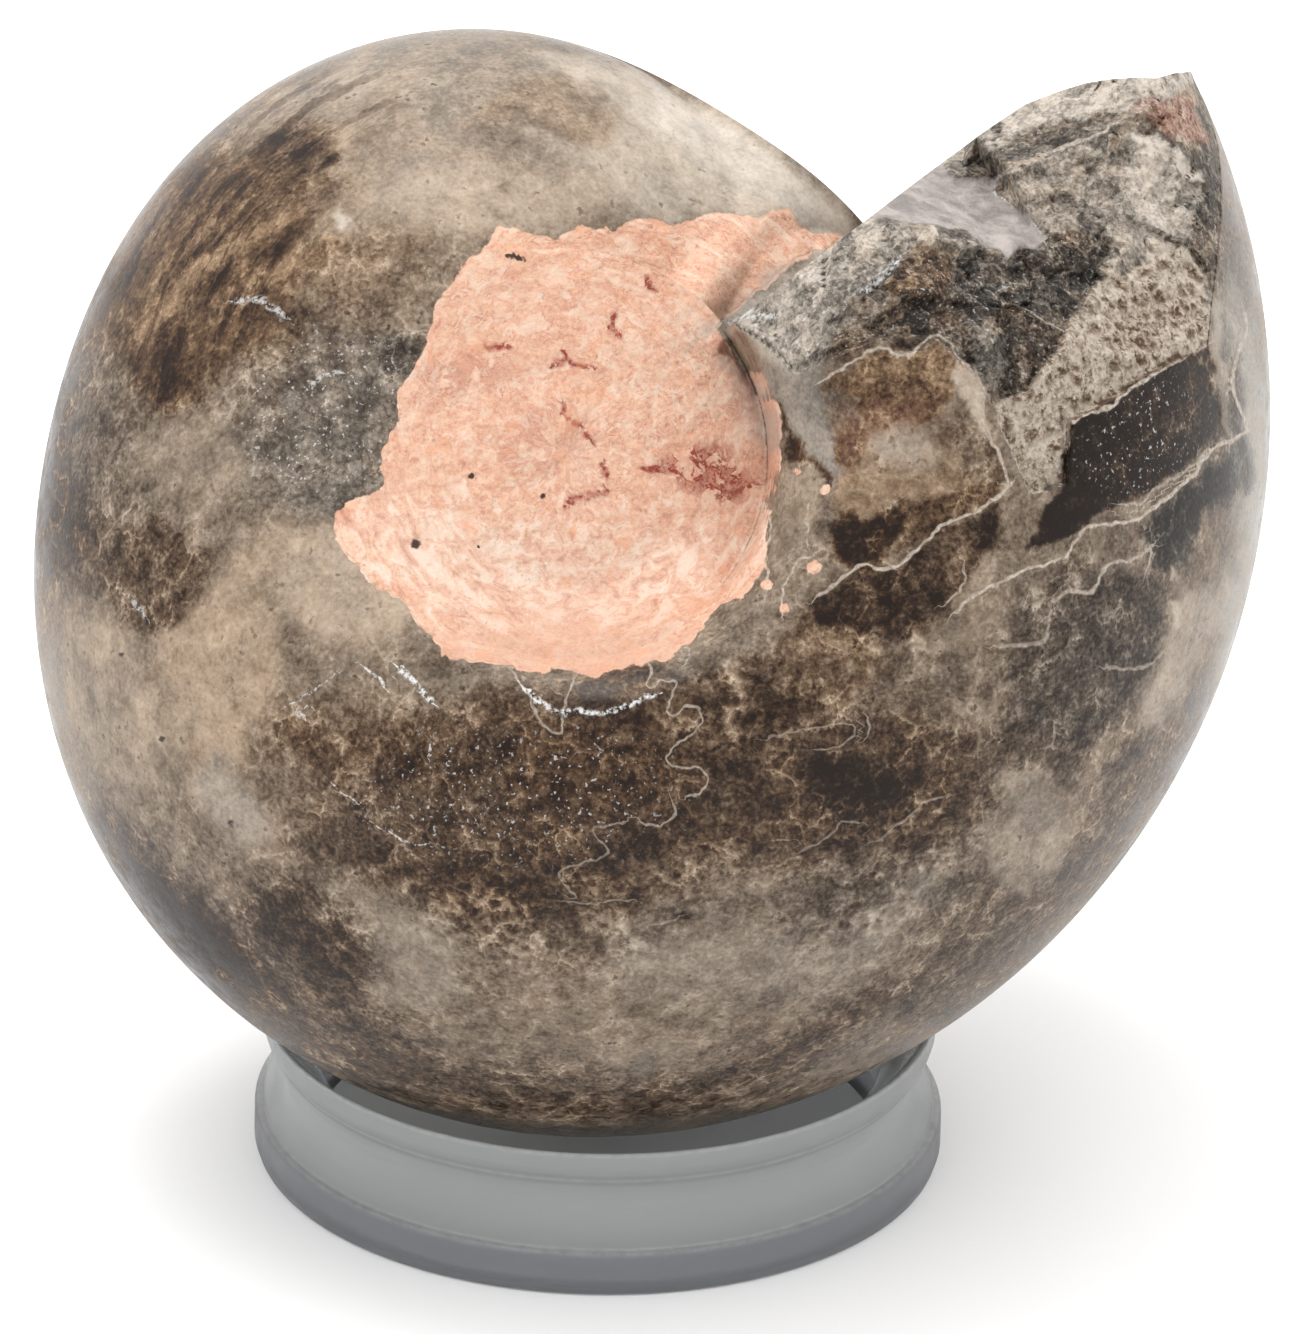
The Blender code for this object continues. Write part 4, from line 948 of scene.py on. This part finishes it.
def surface_marks(x, z, angle, radius, height, near, shell):
    """Every mark over the grid, by name."""
    rise = height / np.maximum(outline_radius(angle), 1)
    blend = smooth(*FLANK_BLEND, rise)
    rim = smooth(*RIM_TOP, rise) * smooth(*RIM_FOOT, rise)
    points = np.stack((x, z, height), -1).reshape(-1, 3)
    clouds, heats = (rim * fractal(points, scale, 3, seed).reshape(x.shape) for scale, seed in RIM_CLOUDS)
    tone, warmth, lift = painted(x, z)
    far_tone, far_warmth, _ = painted(*far_places(x, z))
    broken = np.clip(np.radians(angle - 360 - table(SKIN_EDGE, radius)) * radius, -4, 4)
    sponge, facet = (np.clip(inside_distance(*warped(x, z, kind), outline), -3, 3)
                     for kind, outline in (("sponge", SPONGE), ("facet", FACET)))
    late = near & (angle > LATE_ANGLE)
    marks = {**matrix_marks(x, z), **shell_marks(x, z), "lift": lift}
    marks = {name: value if name in BOTH_FLANKS else value * near for name, value in marks.items()}
    return marks | {
        "tone": blend * tone + (1 - blend) * far_tone + RIM_TONE * clouds,
        "warmth": blend * warmth + (1 - blend) * far_warmth + RIM_WARMTH * heats,
        "matrix": matrix_distance(x, z, angle, radius, height, near),
        "broken": np.where(near & shell, broken, -4.0),
        "sponge": np.where(late, sponge, 3.0),
        "facet": np.where(late, facet, 3.0),
        "speck": np.where(near, nearest_dot(x, z, SPECKS), SPECK_FAR),
        "ripples": most(x, z, RIPPLES) * blend,
        "around": np.radians(angle) * AROUND_RADIUS,
        "outward": radius,
    }


def relief(x, z, side, marks):
    """Fine detail under the polished flank: rough depth, flat-faced lumps, and lift for all places."""
    shape = x.shape
    points = np.stack((x, z, side * SIDE_STEP), -1).reshape(-1, 3)
    hit = (marks["broken"] > 0).ravel()
    facet = smooth(*FACET_EDGE, marks["facet"])
    pitted = smooth(*PIT_EDGE, marks["sponge"])
    lumps, fine, pits = np.zeros((3, hit.size))
    lumps[hit] = crystals(points[hit], BREAK_LUMPS)
    fine[hit] = fractals(points[hit], BREAK_GRAIN) + crystals(points[hit], BREAK_CRUMBS)
    soft = hit & (pitted > 0).ravel()
    pits[soft] = [1 - min(noise.voronoi((a / PIT_SIZE, b / PIT_SIZE, 3.0))[0][0] / PIT_WIDTH, 1.0)
                  for a, b, _ in points[soft].tolist()]
    lumps = lumps.reshape(shape) * (1 - 0.9 * facet) * (1 - 0.6 * pitted)
    pits = PIT_DEPTH * pits.reshape(shape) * pitted
    fine = fine.reshape(shape) * (1 - 0.85 * facet) + pits + FACET_DEPTH * facet
    chalk = smooth(*CHALK_EDGE, marks["matrix"])
    grit = fractals(points, CHALK_GRIT).reshape(shape)
    lift = fractals(points, POLISH_WAVES).reshape(shape) + chalk * (grit - CHALK_DROP)
    ridge = np.clip(1 - np.abs(marks["line"]) / LINE_REACH, 0, 1) * marks["line_shown"]
    return fine, lumps, lift + marks["lift"] + LINE_HEIGHT * ridge * (marks["matrix"] > 0)


def fossil_surface():
    """Positions in metres, normals and marks over the whole grid of rows and columns, and the coil's own."""
    radius, angle, height, side = coil_grid()
    x, z = plane_point(radius, angle)
    share = section_columns()[0][None, :]
    near, shell = side > 0, share >= 0
    marks = surface_marks(x, z, angle, radius, height, near, shell)
    fine, lumps, lift = relief(x, z, side, marks)
    depth = np.where(near & shell, break_depth(radius, angle, fine, lumps), 0)
    lifted = height + side * np.where(share == 1, 0, lift - depth)
    del marks["lift"]
    places = placed(x, z, lifted)
    return places, surface_normals(places), marks, (radius, angle, lifted)


def unit(vectors):
    """Vectors scaled to a length of 1. A vector of no length stays as it is."""
    return vectors / np.maximum(np.linalg.norm(vectors, axis=-1, keepdims=True), NO_LENGTH)


def grid_normals(places):
    """Unit normals of a grid of points, pointing out of the fossil."""
    return unit(np.cross(np.gradient(places, axis=1), np.gradient(places, axis=0)))


def surface_normals(places):
    """Normals of the whole surface, joined where the plugs' first and last rows meet."""
    normals = grid_normals(places)
    for plug in (slice(0, PLUG_COLUMNS), slice(-PLUG_COLUMNS, None)):
        normals[0, plug] = normals[-1, plug] = unit(normals[0, plug] + normals[-1, plug])
    for middle, beside in ((0, 1), (-1, -2)):
        normals[:, middle] = unit(normals[:, beside].mean(axis=0))
    return normals


def broken_end(coil, marks):
    """The rough face that closes the last whorl, from its last row to the inner whorl's first row."""
    shell = slice(PLUG_COLUMNS, -PLUG_COLUMNS)
    outer, inner = ([part[row, shell] for part in coil] for row in (-1, 0))
    share = (np.arange(END_ROWS + 1) / END_ROWS)[:, None]
    across = outer[0] + (inner[0] - outer[0]) * share
    up = outer[2] + (inner[2] - outer[2]) * share
    middle = np.sin(np.pi * share) * np.minimum(np.abs(outer[0] - inner[0]) / HOLLOW_WIDTH, 1)
    points = np.stack((across, up, np.full(up.shape, END_SLICE)), -1).reshape(-1, 3)
    rough = crystals(points, END_LUMPS).reshape(up.shape)
    back = np.degrees((END_HOLLOW + rough) * middle / across)
    x, z = plane_point(across, outer[1] - back)
    end_marks = {key: np.full(x.shape, PLAIN_MARKS.get(key, 0.0)) for key in marks}
    end_marks["tone"] = END_TONE + fractals(points, END_CLOUDS).reshape(x.shape)
    end_marks["warmth"] = END_WARMTH + fractals(points, END_HEATS).reshape(x.shape)
    end_marks["outward"] = across
    return placed(x, z, up), end_marks


def mesh_piece(name, points, faces, normals, marks, material):
    """A smooth mesh with its marks as attributes."""
    mesh = bpy.data.meshes.new(name)
    mesh.from_pydata(points.tolist(), [], faces)
    mesh.validate()
    for key, value in marks.items():
        layer = mesh.attributes.new(key, "FLOAT", "POINT")
        layer.data.foreach_set("value", value.reshape(-1).astype(np.float32))
    mesh.shade_smooth()
    if normals is not None:
        mesh.normals_split_custom_set_from_vertices(normals.tolist())
    mesh.materials.append(material)
    item = bpy.data.objects.new(name, mesh)
    bpy.context.scene.collection.objects.link(item)
    return item


def grid_piece(name, places, normals, marks, material):
    """A mesh from a grid of points."""
    rows, columns = places.shape[:2]
    index = np.arange(rows * columns).reshape(rows, columns)
    quads = np.stack((index[:-1, :-1], index[:-1, 1:], index[1:, 1:], index[1:, :-1]), -1).reshape(-1, 4)
    return mesh_piece(name, places.reshape(-1, 3), quads.tolist(), normals.reshape(-1, 3), marks, material)


# ---- Materials ----

class Graph:
    """A material's node tree, built up by short calls. Inputs are sockets or plain values."""

    def __init__(self, name):
        self.material = bpy.data.materials.new(name)
        self.material.use_nodes = True
        self.tree = self.material.node_tree
        self.shader = self.tree.nodes["Principled BSDF"]
        self.place = self.vector("SCALE", self.add_node("TexCoord", {})["Object"], scale=1000.0)

    def fill(self, node, values):
        """Gives a node's inputs, by name or number, their links or values."""
        for key, value in values.items():
            if isinstance(value, bpy.types.NodeSocket):
                self.tree.links.new(value, node.inputs[key])
            elif value is not None:
                node.inputs[key].default_value = value

    def add_node(self, kind, values, **settings):
        """A new node's outputs."""
        node = self.tree.nodes.new("ShaderNode" + kind)
        for key, value in settings.items():
            setattr(node, key, value)
        self.fill(node, values)
        return node.outputs

    def look(self, name, value):
        """Gives one input of the shader its link or value."""
        self.fill(self.shader, {name: value})

    def math(self, operation, *values):
        return self.add_node("Math", dict(enumerate(values)), operation=operation)[0]

    add = partialmethod(math, "ADD")
    sub = partialmethod(math, "SUBTRACT")
    mul = partialmethod(math, "MULTIPLY")
    mul_add = partialmethod(math, "MULTIPLY_ADD")
    larger = partialmethod(math, "MAXIMUM")
    absolute = partialmethod(math, "ABSOLUTE")

    def vector(self, operation, a, b=None, scale=None):
        return self.add_node("VectorMath", {0: a, 1: b, 3: scale}, operation=operation)[0]

    def join(self, *values):
        return self.add_node("CombineXYZ", dict(enumerate(values)))[0]

    def mark(self, name):
        return self.add_node("Attribute", {}, attribute_name=name)["Fac"]

    def noise(self, size, detail=3.0, roughness=0.6, place=None, distortion=0.0, shift=0.0):
        """Noise whose lumps are about size millimetres, from 0 to 1."""
        place = self.vector("ADD", place or self.place, (shift, 2.3 * shift, 3.1 * shift))
        values = {"Vector": place, "Scale": 1 / size, "Detail": detail, "Roughness": roughness,
                  "Distortion": distortion}
        return self.add_node("TexNoise", values)["Fac"]

    def waves(self, size, detail=3.0, roughness=0.6, **rest):
        """The same noise, from -0.5 to 0.5."""
        return self.sub(self.noise(size, detail, roughness, **rest), 0.5)

    def cells(self, size, feature="F1", place=None):
        """Distance into, or to the edge of, cells of about size millimetres."""
        values = {"Vector": place or self.place, "Scale": 1 / size}
        return self.add_node("TexVoronoi", values, feature=feature)["Distance"]

    def chips(self, size):
        """One value for each cell of about size millimetres, from -0.5 to 0.5."""
        return self.sub(self.add_node("TexVoronoi", {"Vector": self.place, "Scale": 1 / size})["Color"], 0.5)

    def span(self, value, low, high, start=0.0, end=1.0, ease=True):
        """Maps low to high onto start to end, and holds the ends."""
        kind = "SMOOTHSTEP" if ease else "LINEAR"
        values = dict(enumerate((value, low, high, start, end)))
        return self.add_node("MapRange", values, interpolation_type=kind)[0]

    def mix(self, share, a, b):
        return self.add_node("Mix", {0: share, 6: a, 7: b}, data_type="RGBA")[2]

    def ramp(self, value, stops):
        node = self.tree.nodes.new("ShaderNodeValToRGB")
        elements = node.color_ramp.elements
        while len(elements) < len(stops):
            elements.new(0.5)
        for element, (position, colour) in zip(elements, stops):
            element.position = position
            element.color = (*colour, 1.0)
        self.fill(node, {0: value})
        return node.outputs[0]

    def bump(self, height, depth):
        """A bump whose height runs 0 to 1 over depth millimetres."""
        return self.add_node("Bump", {"Height": height, "Distance": depth * MM})[0]


def fossil_material():
    """The look of the whole fossil: marbled stone, its broken places and the peach matrix."""
    g = Graph("fossil_stone")
    matrix, broken, tone, ripples = (g.mark(name) for name in ("matrix", "broken", "tone", "ripples"))
    rusty, cream, around, outward = (g.mark(name) for name in ("rust", "cream", "around", "outward"))
    mid = g.waves(1.3, 4, 0.62, distortion=0.45)
    fine = g.waves(0.32, 3, 0.65, shift=5.0)
    broad = g.waves(3.6, 3, 0.6, shift=9.0)

    # Ragged masks: 1 inside.
    matrix_in = g.span(g.mul_add(mid, 0.9, matrix), 0.06, -0.06)
    broken_in = g.span(g.mul_add(mid, 0.8, broken), -0.08, 0.08)
    sponge_in = g.mul(g.span(g.mul_add(mid, 1.4, g.mark("sponge")), 0.2, -0.2), broken_in)
    facet_in = g.span(g.mul_add(mid, 0.5, g.mark("facet")), 0.12, -0.12)

    # Marbling: clouds, blotches and grain, lively in the dark stone and quiet in the pale.
    dark = g.span(tone, 0.60, 0.30)
    lively = g.mul_add(g.larger(dark, g.mul(broken_in, 0.5)), 0.60, 0.50)
    calm = g.span(ripples, 0.0, 0.8, 1.0, 0.45)
    lively = g.mul(lively, g.mul_add(calm, 0.5, 0.5))
    marble = g.mul_add(mid, 0.88, g.mul(fine, g.mul_add(broken_in, 0.35, 0.75)))
    shade = g.mul_add(marble, lively, g.mul_add(broad, 0.42, tone))

    # Flat crystal chips where the stone is broken.
    large_chips = g.chips(1.5)
    chips = g.mul_add(large_chips, 0.34, g.mul(g.chips(0.42), 0.32))
    shade = g.mul_add(g.mul(chips, broken_in), g.span(tone, 0.1, 0.4, 0.55, 1.0), shade)

    # A net of thin pale veins in the dark stone, and brown flecks in the pale.
    pushed = g.vector("ADD", g.place, g.join(g.mul(mid, 2.4), g.mul(broad, 2.0), fine))
    net = g.span(g.cells(2.1, "DISTANCE_TO_EDGE", pushed), 0.075, 0.0)
    net = g.mul(g.mul(g.mul(net, dark), g.span(broad, -0.10, 0.14)), calm)
    fleck = g.mul(g.span(g.noise(0.75, 2, 0.5, shift=31.0), 0.60, 0.70), g.span(mid, -0.02, 0.16))
    shade = g.mul_add(fleck, -0.26, g.mul_add(net, 0.24, shade))

    # Growth bands along the coil, in warm and dark stripes.
    along = g.join(g.mul(around, 0.09), g.mul_add(mid, 0.8, outward), 0.0)
    band = g.waves(1.0, 3, 0.6, place=along)
    band = g.mul_add(g.span(g.absolute(band), 0.05, 0.0), 0.12, g.mul(band, 0.85))
    shade = g.mul_add(band, ripples, shade)

    # A foam of tiny dark cells with paler walls.
    stirred = g.vector("ADD", g.place, g.join(g.mul(mid, 1.2), broad, fine))
    foam = g.mul(g.mark("foam"), g.span(broad, -0.12, 0.08))
    shade = g.mul_add(g.mul(foam, g.sub(g.cells(0.8, place=stirred), 0.45)), 0.62, shade)

    # Colour: between a cold and a warm ramp, warmer where the stone is darker.
    heat = g.mul_add(broad, 1.4, g.mark("warmth"))
    heat = g.mul_add(g.noise(0.5, 2, 0.5, shift=13.0), 0.6, heat)
    heat = g.mul_add(g.sub(0.45, shade), 1.3, heat)
    heat = g.mul_add(g.mul_add(large_chips, 1.5, -0.32), broken_in, heat)
    stone = g.mix(g.span(heat, -0.4, 1.65, ease=False), g.ramp(shade, COLD_STONE), g.ramp(shade, WARM_STONE))
    stain = g.mul(rusty, g.span(marble, -0.2, 0.2, 0.9, 0.4))
    stone = g.mix(stain, stone, g.ramp(g.mul_add(marble, 0.9, 0.5), STAIN))

    # Cream lines, then painted highlights: glints and sparkle where polish and crystal catch the light.
    ragged = g.mul_add(mid, 2.2, g.mul(fine, 1.6))
    line = g.add(g.absolute(g.add(ragged, g.mark("line"))), ragged)
    line = g.mul(g.span(line, 1.9, 0.5), g.mark("line_shown"))
    stone = g.mix(line, stone, g.ramp(g.add(fine, 0.5), CREAM_LINE))
    glint = g.span(g.add(g.absolute(g.mark("glint")), g.mul(mid, 2.6)), 1.2, 0.3)
    glint = g.mul(g.mul(glint, g.mark("glint_shown")), g.span(fine, -0.10, 0.10))
    coarse = g.larger(g.mark("sparkle"), g.mul(broken_in, 0.6))
    sparkle_highlight = g.mul(g.span(g.noise(0.3, 2, 0.5, shift=17.0), 0.62, 0.72), coarse)
    stone = g.mix(g.larger(glint, g.mul(sparkle_highlight, 0.55)), stone, GLINT_HIGHLIGHT_WHITE)

    # The broken places: sponge-like crystal walls and the smooth grey facet.
    walls = g.span(g.cells(1.25, "DISTANCE_TO_EDGE", stirred), 0.34, 0.04, ease=False)
    sponge_shade = g.mul_add(mid, 0.7, g.mul_add(walls, 0.34, 0.22))
    sponge_shade = g.mul_add(g.sub(tone, 0.5), 0.7, g.mul_add(fine, 1.3, sponge_shade))
    stone = g.mix(g.mul(sponge_in, 0.92), stone, g.ramp(sponge_shade, SPONGE_STONE))
    facet_shade = g.mul_add(g.add(mid, broad), 1.1, 0.5)
    stone = g.mix(g.mul(facet_in, 0.92), stone, g.ramp(facet_shade, FACET_STONE))

    # Peach matrix: chalky streaks that run round the coil, strongest in the creamy part, and darker threads.
    streaks = g.join(g.mul(around, 0.22), outward, 0.0)
    swirl = g.waves(1.0, 4, 0.7, place=streaks, distortion=0.8, shift=24.0)
    thread = g.mul(g.span(g.absolute(swirl), 0.035, 0.0), g.span(mid, -0.1, 0.1))
    peach_shade = g.mul_add(swirl, g.mul_add(cream, 1.9, 1.1), 0.50)
    for value, share in ((fine, 0.75), (broad, 0.22), (cream, 0.06), (thread, -0.26)):
        peach_shade = g.mul_add(value, share, peach_shade)
    peach = g.ramp(peach_shade, PEACH_MATRIX)

    # Its grains, rust, creamy parts, painted shade at its lower edge, blotches, dark motes and greyish rim,
    # one over another.
    vein = g.span(g.absolute(mid), 0.06, 0.0)
    rust = g.mul(rusty, g.mul_add(vein, 0.9, g.span(mid, -0.1, 0.2, 0.1, 1.0)))
    for share, tint in (
        (g.span(fine, 0.03, 0.20, 0.0, 0.50), ORANGE_GRAIN),
        (g.span(fine, -0.06, -0.22, 0.0, 0.40), PINK_GRAIN),
        (g.mul(rust, g.span(fine, -0.25, 0.15, 0.45, 1.0)), DEEP_RUST),
        (g.mul(cream, 0.42), CREAM_CHALK),
        # painted shade darkening the matrix towards its lower edge
        (g.mul(g.mark("under"), 0.55), PAINTED_SHADE_PEACH),
        (g.span(g.noise(2.4, 3, 0.6, shift=61.0), 0.55, 0.70, 0.0, 0.40), ORANGE_BLOTCH),
        (g.span(g.noise(0.4, 1, 0.5, shift=71.0), 0.70, 0.77, 0.0, 0.65), GREY_MOTE),
        (g.mul(g.mark("ash"), 0.75), ASH_GREY),
    ):
        peach = g.mix(share, peach, tint)
    speck = g.span(g.mul_add(fine, 1.0, g.mark("speck")), 1.25, 0.75)
    g.look("Base Color", g.mix(speck, g.mix(matrix_in, stone, peach), BLACK_SPECK))

    # Polish: glossy stone with duller patches, dull where it is broken, chalky matrix.
    polish = g.span(g.add(mid, broad), -0.25, 0.3, 0.24, 0.46)
    dull = g.span(mid, -0.2, 0.25, 0.42, 0.72)
    rough = g.mul_add(g.sub(dull, polish), broken_in, polish)
    g.look("Roughness", g.mul_add(g.sub(CHALK_ROUGHNESS, rough), matrix_in, rough))
    g.look("Specular IOR Level", STONE_SPECULAR)

    # One bump, in millimetres: faint waves on the polish, crumbs on the break and the matrix.
    crumb = g.larger(g.span(broken, 0.0, 0.3, 0.02, 0.36), g.span(matrix, 0.0, -0.3, 0.0, 0.16))
    g.look("Normal", g.bump(g.mul(g.noise(0.55, 4, 0.7, shift=38.0), crumb), 1.0))
    return g.material


def acrylic_material():
    """Clear acrylic gone hazy with handling: smeared and frosty in the waist, clearer on the foot."""
    g = Graph("clear_acrylic_look")
    seat = g.mark("seat")
    # the seat takes a lighter tint as painted light, brightening it in the stone's shadow
    body = g.mix(seat, g.mix(g.mark("clear"), ACRYLIC_WAIST, ACRYLIC_FOOT), ACRYLIC_SEAT_PAINTED_LIGHT)
    # painted highlights along the turned edges, broken up by noise
    edge_highlight = g.mul(g.mark("edge"), g.span(g.noise(0.8, 3, 0.6, shift=7.0), 0.3, 0.6, 0.4, 0.9))
    g.look("Base Color", g.mix(edge_highlight, body, ACRYLIC_EDGE_HIGHLIGHT))
    g.look("Transmission Weight", ACRYLIC_TRANSMISSION)
    g.look("IOR", ACRYLIC_IOR)
    g.look("Roughness", g.mul_add(seat, -0.26, g.span(g.noise(2.5, 3, 0.6), 0.3, 0.7, 0.38, 0.52)))
    return g.material


# ---- The fossil and the ring ----

def build_fossil():
    """Six pieces that share one material: the grid cut at its seams, and the broken end."""
    places, normals, marks, coil = fossil_surface()
    middle = PLUG_COLUMNS + NEAR_COLUMNS
    near = slice(PLUG_COLUMNS, middle + 1)
    every = slice(None)
    cuts = {
        "shell_flank": (slice(0, ROWS_REST + 1), near),
        "broken_whorl": (slice(ROWS_REST, None), near),
        "far_flank": (every, slice(middle, middle + FAR_COLUMNS + 1)),
        "matrix_plug": (every, slice(0, PLUG_COLUMNS + 1)),
        "far_matrix": (every, slice(-PLUG_COLUMNS - 1, None)),
    }
    grids = {name: (places[cut], normals[cut], {key: value[cut] for key, value in marks.items()})
             for name, cut in cuts.items()}
    end_places, end_marks = broken_end(coil, marks)
    grids["broken_end"] = (end_places, grid_normals(end_places), end_marks)
    stone = fossil_material()
    for name, grid in grids.items():
        piece = grid_piece(name, *grid, stone)
        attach(piece, "root")
        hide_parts("ammonite")


def ring_section():
    """Radii and heights round the ring's section, in short steps."""
    section = []
    for (r0, z0), (r1, z1) in zip(RING_PROFILE, RING_PROFILE[1:]):
        steps = max(1, round(math.hypot(r1 - r0, z1 - z0) / RING_STEP))
        section += [(r0 + (r1 - r0) * i / steps, z0 + (z1 - z0) * i / steps) for i in range(steps)]
    return np.array(section).T


def build_ring():
    """The ring as a fine lathe shape, with its turned edges softened."""
    radii, heights = ring_section()
    count = len(radii)
    turn = 2 * math.pi * np.arange(RING_SEGMENTS)[:, None] / RING_SEGMENTS
    shape = np.stack((radii * np.cos(turn), radii * np.sin(turn), heights * np.ones_like(turn)), -1)
    faces = [(i * count + j, i * count + (j + 1) % count, (i + 1) % RING_SEGMENTS * count + (j + 1) % count,
              (i + 1) % RING_SEGMENTS * count + j) for i in range(RING_SEGMENTS) for j in range(count)]
    # painted highlights: thin bands at the turned edges' heights, outside the seat
    edge_highlight = np.max([np.exp(-((heights - edge) / EDGE_WIDTH) ** 2) for edge in EDGE_HEIGHTS], axis=0)
    marks = {
        "clear": heights < CLEAR_HEIGHT,
        "seat": (heights > SEAT_HEIGHT) & (radii < SEAT_RADIUS),
        "edge": edge_highlight * (radii > SEAT_RADIUS),
    }
    marks = {key: np.tile(value, RING_SEGMENTS) for key, value in marks.items()}
    material = acrylic_material()
    points = np.array(ring_foot()) + shape.reshape(-1, 3) * MM
    piece = mesh_piece("clear_ring", points, faces, None, marks, material)
    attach(piece, "root")
    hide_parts("ring_stand")
    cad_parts["ring_stand"].material_slots[0].material = material


# ---- Stage, light and camera ----

def build_stage():
    """A plain pale floor."""
    half = FLOOR_SIZE / 2
    mesh = bpy.data.meshes.new("floor")
    corners = [(x * half, y * half, 0) for x, y in ((-1, -1), (1, -1), (1, 1), (-1, 1))]
    mesh.from_pydata(corners, [], [(0, 1, 2, 3)])
    floor = bpy.data.objects.new("floor", mesh)
    bpy.context.scene.collection.objects.link(floor)
    g = Graph("pale_floor")
    g.look("Base Color", FLOOR_COLOUR)
    g.look("Roughness", FLOOR_ROUGHNESS)
    g.look("Specular IOR Level", FLOOR_SPECULAR)
    mesh.materials.append(g.material)
    floor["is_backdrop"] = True


def build_light():
    """A white studio: brighter overhead than at the sides, and one soft lamp."""
    world = bpy.data.worlds.new("studio")
    world.use_nodes = True
    nodes, links = world.node_tree.nodes, world.node_tree.links
    coordinates = nodes.new("ShaderNodeTexCoord")
    split = nodes.new("ShaderNodeSeparateXYZ")
    rise = nodes.new("ShaderNodeMapRange")
    for name, number in (("From Min", 0.0), ("From Max", SKY_HEIGHT), ("To Min", SIDE_LIGHT),
                         ("To Max", SKY_LIGHT)):
        rise.inputs[name].default_value = number
    links.new(coordinates.outputs["Generated"], split.inputs[0])
    links.new(split.outputs["Z"], rise.inputs["Value"])
    links.new(rise.outputs[0], nodes["Background"].inputs["Strength"])
    nodes["Background"].inputs["Color"].default_value = (1, 1, 1, 1)
    bpy.context.scene.world = world

    light = bpy.data.lights.new("overhead", "AREA")
    light.shape = "RECTANGLE"
    light.size, light.size_y = LAMP_SIZE
    light.energy = LAMP_POWER
    lamp = bpy.data.objects.new("overhead", light)
    lamp.location = LAMP_PLACE
    lamp.rotation_euler = (Vector(LAMP_TARGET) - Vector(LAMP_PLACE)).to_track_quat("-Z", "Y").to_euler()
    bpy.context.scene.collection.objects.link(lamp)
    bpy.context.scene.view_settings.view_transform = "Standard"


def build_camera():
    """The photo's view: a long lens, looking down at the front, turned a little."""
    lift, roll = math.radians(CAMERA_ELEVATION), math.radians(CAMERA_ROLL)
    back = Vector((0, -math.cos(lift), math.sin(lift)))
    right = Vector((1, 0, 0))
    level = right * math.cos(roll) + back.cross(right) * math.sin(roll)
    camera = bpy.data.cameras.new("photo_view")
    camera.sensor_fit = "VERTICAL"
    camera.sensor_height = SENSOR_HEIGHT
    camera.lens = FRAME_SCALE * CAMERA_DISTANCE * SENSOR_HEIGHT / FRAME_HEIGHT
    camera.clip_end = CAMERA_REACH
    item = bpy.data.objects.new("photo_view", camera)
    turned = Matrix((level, back.cross(level), back)).transposed().to_4x4()
    turned.translation = ring_foot() + Vector(CAMERA_TARGET) * MM + back * CAMERA_DISTANCE
    item.matrix_world = turned
    bpy.context.scene.collection.objects.link(item)
    bpy.context.scene.camera = item


def write_sizes():
    """Works out the solid's box and the finished scene's box as plain lists; they are not kept."""
    boxes = [[list(corner) for corner in box] for box in (cad_box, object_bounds())]


build_fossil()
build_ring()
build_stage()
build_light()
build_camera()
write_sizes()
